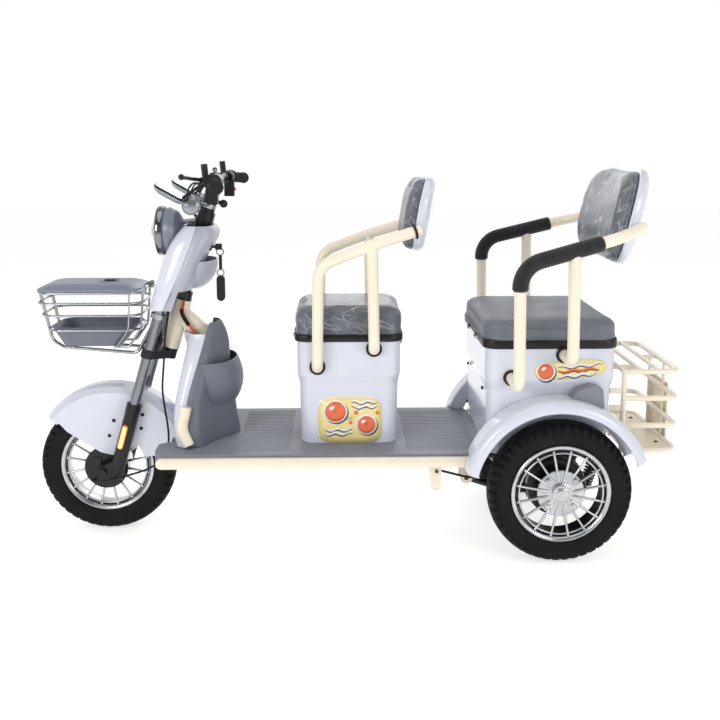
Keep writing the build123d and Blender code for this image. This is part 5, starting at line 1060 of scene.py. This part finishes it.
guard = {"centre": (565, 0, 208), "radius": 262.3, "in": 219.6, "out": 313.8, "roll": 26, "drop": 30}
turn = np.linspace(0, np.pi / 2, 10)
rollY = guard["out"] - guard["roll"] * (1 - np.sin(turn))
rollR = guard["radius"] - guard["roll"] * (1 - np.cos(turn)) * 0.9
lineY = np.concatenate([[guard["in"]] * 4, np.linspace(guard["in"] + 4, guard["out"] - guard["roll"] - 4, 7), rollY,
                        [guard["out"], guard["out"] + 0.4, guard["out"] - 1.2, guard["out"] - 4.2]])
lineR = np.concatenate([guard["radius"] - np.array((44, 28, 12, 2)), np.full(7, guard["radius"]), rollR,
                        guard["radius"] - guard["drop"] - np.array((-1.5, 0.5, 2.4, 2.4))])
arc = np.radians(np.sort(np.concatenate([np.linspace(20.3, 167.7, 90), (157.6, 157.9)])))
guards = []
for side in (-1, 1):
    y = np.where((arc[:, None] > np.radians(157.7)), np.maximum(lineY, 255.0), lineY)
    ends = np.minimum(arc - arc[0], arc[-1] - arc)[:, None]
    r = lineR - 3.5 * np.exp(-ends * 90)
    guards.append(grid(np.stack([guard["centre"][0] + r * np.cos(arc)[:, None], side * y,
                                 guard["centre"][2] + r * np.sin(arc)[:, None]], -1) * mm, closeCols=False))
addPiece("rear_mudguards", guards, absLavender, "chassis", ("rear_fenders",), crease=50,
         wall=0.7 * mm)

# backrest shells: dishes with rolled edges behind the pads
shellParts = []
for name, b in backs.items():
    tilt = math.radians(b["lean"])
    up = np.array((math.sin(tilt), 0, math.cos(tilt)))
    forward = np.array((-math.cos(tilt), 0, math.sin(tilt)))
    half, high = (144, 220) if name == "mid_back_pad" else (234, 275)
    dish = padGrid((half - 0.5) * mm, (high / 2 - 0.5) * mm, (b["corner"] + 11) * mm, 31 * mm, 2.5 * mm, 21)
    sides = (b["bend"] - np.sqrt(b["bend"] ** 2 - (dish[..., 0] / mm) ** 2)) * mm
    place = np.array((b["foot"][0], 0, b["foot"][1])) * mm
    shellParts.append(grid(place + dish[..., :1] * np.array((0, 1, 0)) + (dish[..., 1:2] + high / 2 * mm) * up
                           + (sides - dish[..., 2] - (b["depth"] + 0.4) * mm)[..., None] * forward))
addPiece("backrest_shells", shellParts, absLavender, "chassis", ("back_shells",), crease=60)

# black rings where the driver's rails enter the shell
rings = []
for side in (-1, 1):
    last, before = np.array((189, side * 150, 925)), np.array((52, side * 166, 884))
    run = unit(before - last)
    rings.append(revolved(np.array([(16.4, 0), (20.4, 0.5), (21.6, 3), (20.6, 6.5), (16.4, 7.5)]) * mm,
                          (last + run * 13) * mm, run, 40, True))
addPiece("backrest_rail_rings", rings, rubberBlack, "chassis")

# front basket's lid: a thin rounded edge, a low dome and a flat top with a ring handle
lid = {"x": (-912, -618), "half": 101, "low": 743.3, "corner": 36}
halfLong = (lid["x"][1] - lid["x"][0]) / 2
insets = np.array((4, 3.4, 3, 3, 0.6, 0, 0.2, 1.2, 3, 6, 10, 16, 24, 32, 40, 44, 50))
levels = np.array((3, 2.4, 0.8, 0, 0, 0.8, 4.6, 6.4, 7.4, 8.8, 10.6, 13, 15.7, 17.6, 18.7, 18.9, 19.0))
rows = []
for inset, rise in zip(insets, levels):
    edge = roundedOutline(halfLong - inset, lid["half"] - inset, max(lid["corner"] - inset * 0.3, 12))
    rows.append(np.column_stack([edge[:, 0] + (lid["x"][0] + lid["x"][1]) / 2, edge[:, 1],
                                 np.full(len(edge), lid["low"] + rise)]))
lidParts = [grid(capped(np.array(rows)) * mm)]
handle = [(24, 17), (25, 19.5), (28, 21.4), (33, 22), (37, 21.2), (39.5, 19.2), (40, 17)]
lidParts.append(revolved(np.array(handle) * mm, np.array((-716, 0, lid["low"])) * mm, (0, 0, 1), 72, True))
for side in (-1, 1):
    barrel = revolved(np.array([(2.9, -5), (5.4, -5), (5.6, -4.6), (5.6, 4.6), (5.4, 5), (2.9, 5)]) * mm,
                      np.array((-605, side * 60, 749)) * mm, (0, 1, 0), 28, True)
    arm = pill((-622, side * 60, 747.2), (-611, side * 60, 748.4), 4.6, up=(0, 0, 1), flat=0.7)
    lidParts += [barrel, arm]
addPiece("basket_lid_shell", lidParts, absSlate, "basket_lid", ("basket_lid",), crease=40)
pull = [pill((-733, 0, lid["low"] + 20.5), (-699, 0, lid["low"] + 20.5), 4.2, up=(0, 0, 1), flat=0.7)]
pull.append(revolved(np.array([(0, 19.3), (23.4, 19.3), (23.8, 18.6)]) * mm, np.array((-716, 0, lid["low"])) * mm,
                     (0, 0, 1), 48))
addPiece("basket_lid_handle", pull, nylonBlack, "basket_lid")
print("mudguards, shells and lid made")


# fender lamps: a clear lens in a chrome frame facing back

lampLens = [pill((689, y, 461), (687, y, 475), 10, up=(1, 0, 0), flat=0.5) for y in (-249, 249)]
lampFrame = [pill((686.5, y, 457), (684.5, y, 479), 13.5, up=(1, 0, 0), flat=0.3) for y in (-249, 249)]
addPiece("fender_lamp_lenses", lampLens, lensClear, "chassis")
addPiece("fender_lamp_frames", lampFrame, chromePlate, "chassis")

# two sewn edges round the rear cushion: each follows the plumped pad's own outline at its height
skin = pointsOf(bpy.data.objects["rear_seat_pad"]) / mm - (552, 0, 0)
piping = []
for z, radius in ((656.5, 1.3), (627, 1.1)):
    near = skin[np.abs(skin[:, 2] - z) < 1.6]
    turned = np.arctan2(near[:, 1], near[:, 0])
    order = np.argsort(turned)
    edge = roundedOutline(191, 229, 57)
    heading = np.arctan2(edge[:, 1], edge[:, 0])
    reach = np.interp(heading, turned[order], np.linalg.norm(near[order, :2], axis=1), period=2 * np.pi)
    reach = sum(np.roll(reach, shift) for shift in range(-2, 3)) / 5
    loopLine = np.column_stack([reach * np.cos(heading) + 552, reach * np.sin(heading), np.full(len(edge), z)])
    run = np.roll(loopLine, -1, 0) - np.roll(loopLine, 1, 0)
    run /= np.linalg.norm(run, axis=1)[:, None]
    out = np.cross(run, (0, 0, 1))
    around = np.linspace(0, 2 * np.pi, 8, endpoint=False)
    piping.append(grid((loopLine[:, None] + radius * (out[:, None] * np.cos(around)[:, None]
                                                      + np.array((0, 0, 1)) * np.sin(around)[:, None])) * mm,
                       closeRows=True))
addPiece("rear_cushion_piping", piping, vinylGrey, "rear_seat_lid", crease=80)

# deck lips: two raised lines along each side edge
lips = []
for side in (-1, 1):
    for z in (297.4, 293.8):
        line = np.linspace(-540, 360, 40)
        path = np.column_stack([line, np.full(40, side * 232.0), np.full(40, z)])
        lips.append(tubeAlong(path * mm, 1.1 * mm, 8, up=(0, 0, 1)))
addPiece("deck_lips", lips, absGrey, "chassis")
print("lamps, piping and lips made")


# floor

floorSide = 14
corner = np.linspace(-floorSide, floorSide, 9)
flatGrid = np.stack(np.meshgrid(corner, corner, indexing="ij") + [np.zeros((9, 9)) - 0.0004], -1)
floor = bpy.data.objects.new("floor", meshOf("floor", grid(flatGrid, closeCols=False)))
floor.data.materials.append(finish("paintedFloor", "DDDDDC", 0.6, grain=2.5, depth=0.01, other="DADAD9",
                                   patch=900, Emission_Color=(1, 1, 1, 1), Emission_Strength=0.6))
bpy.context.collection.objects.link(floor)
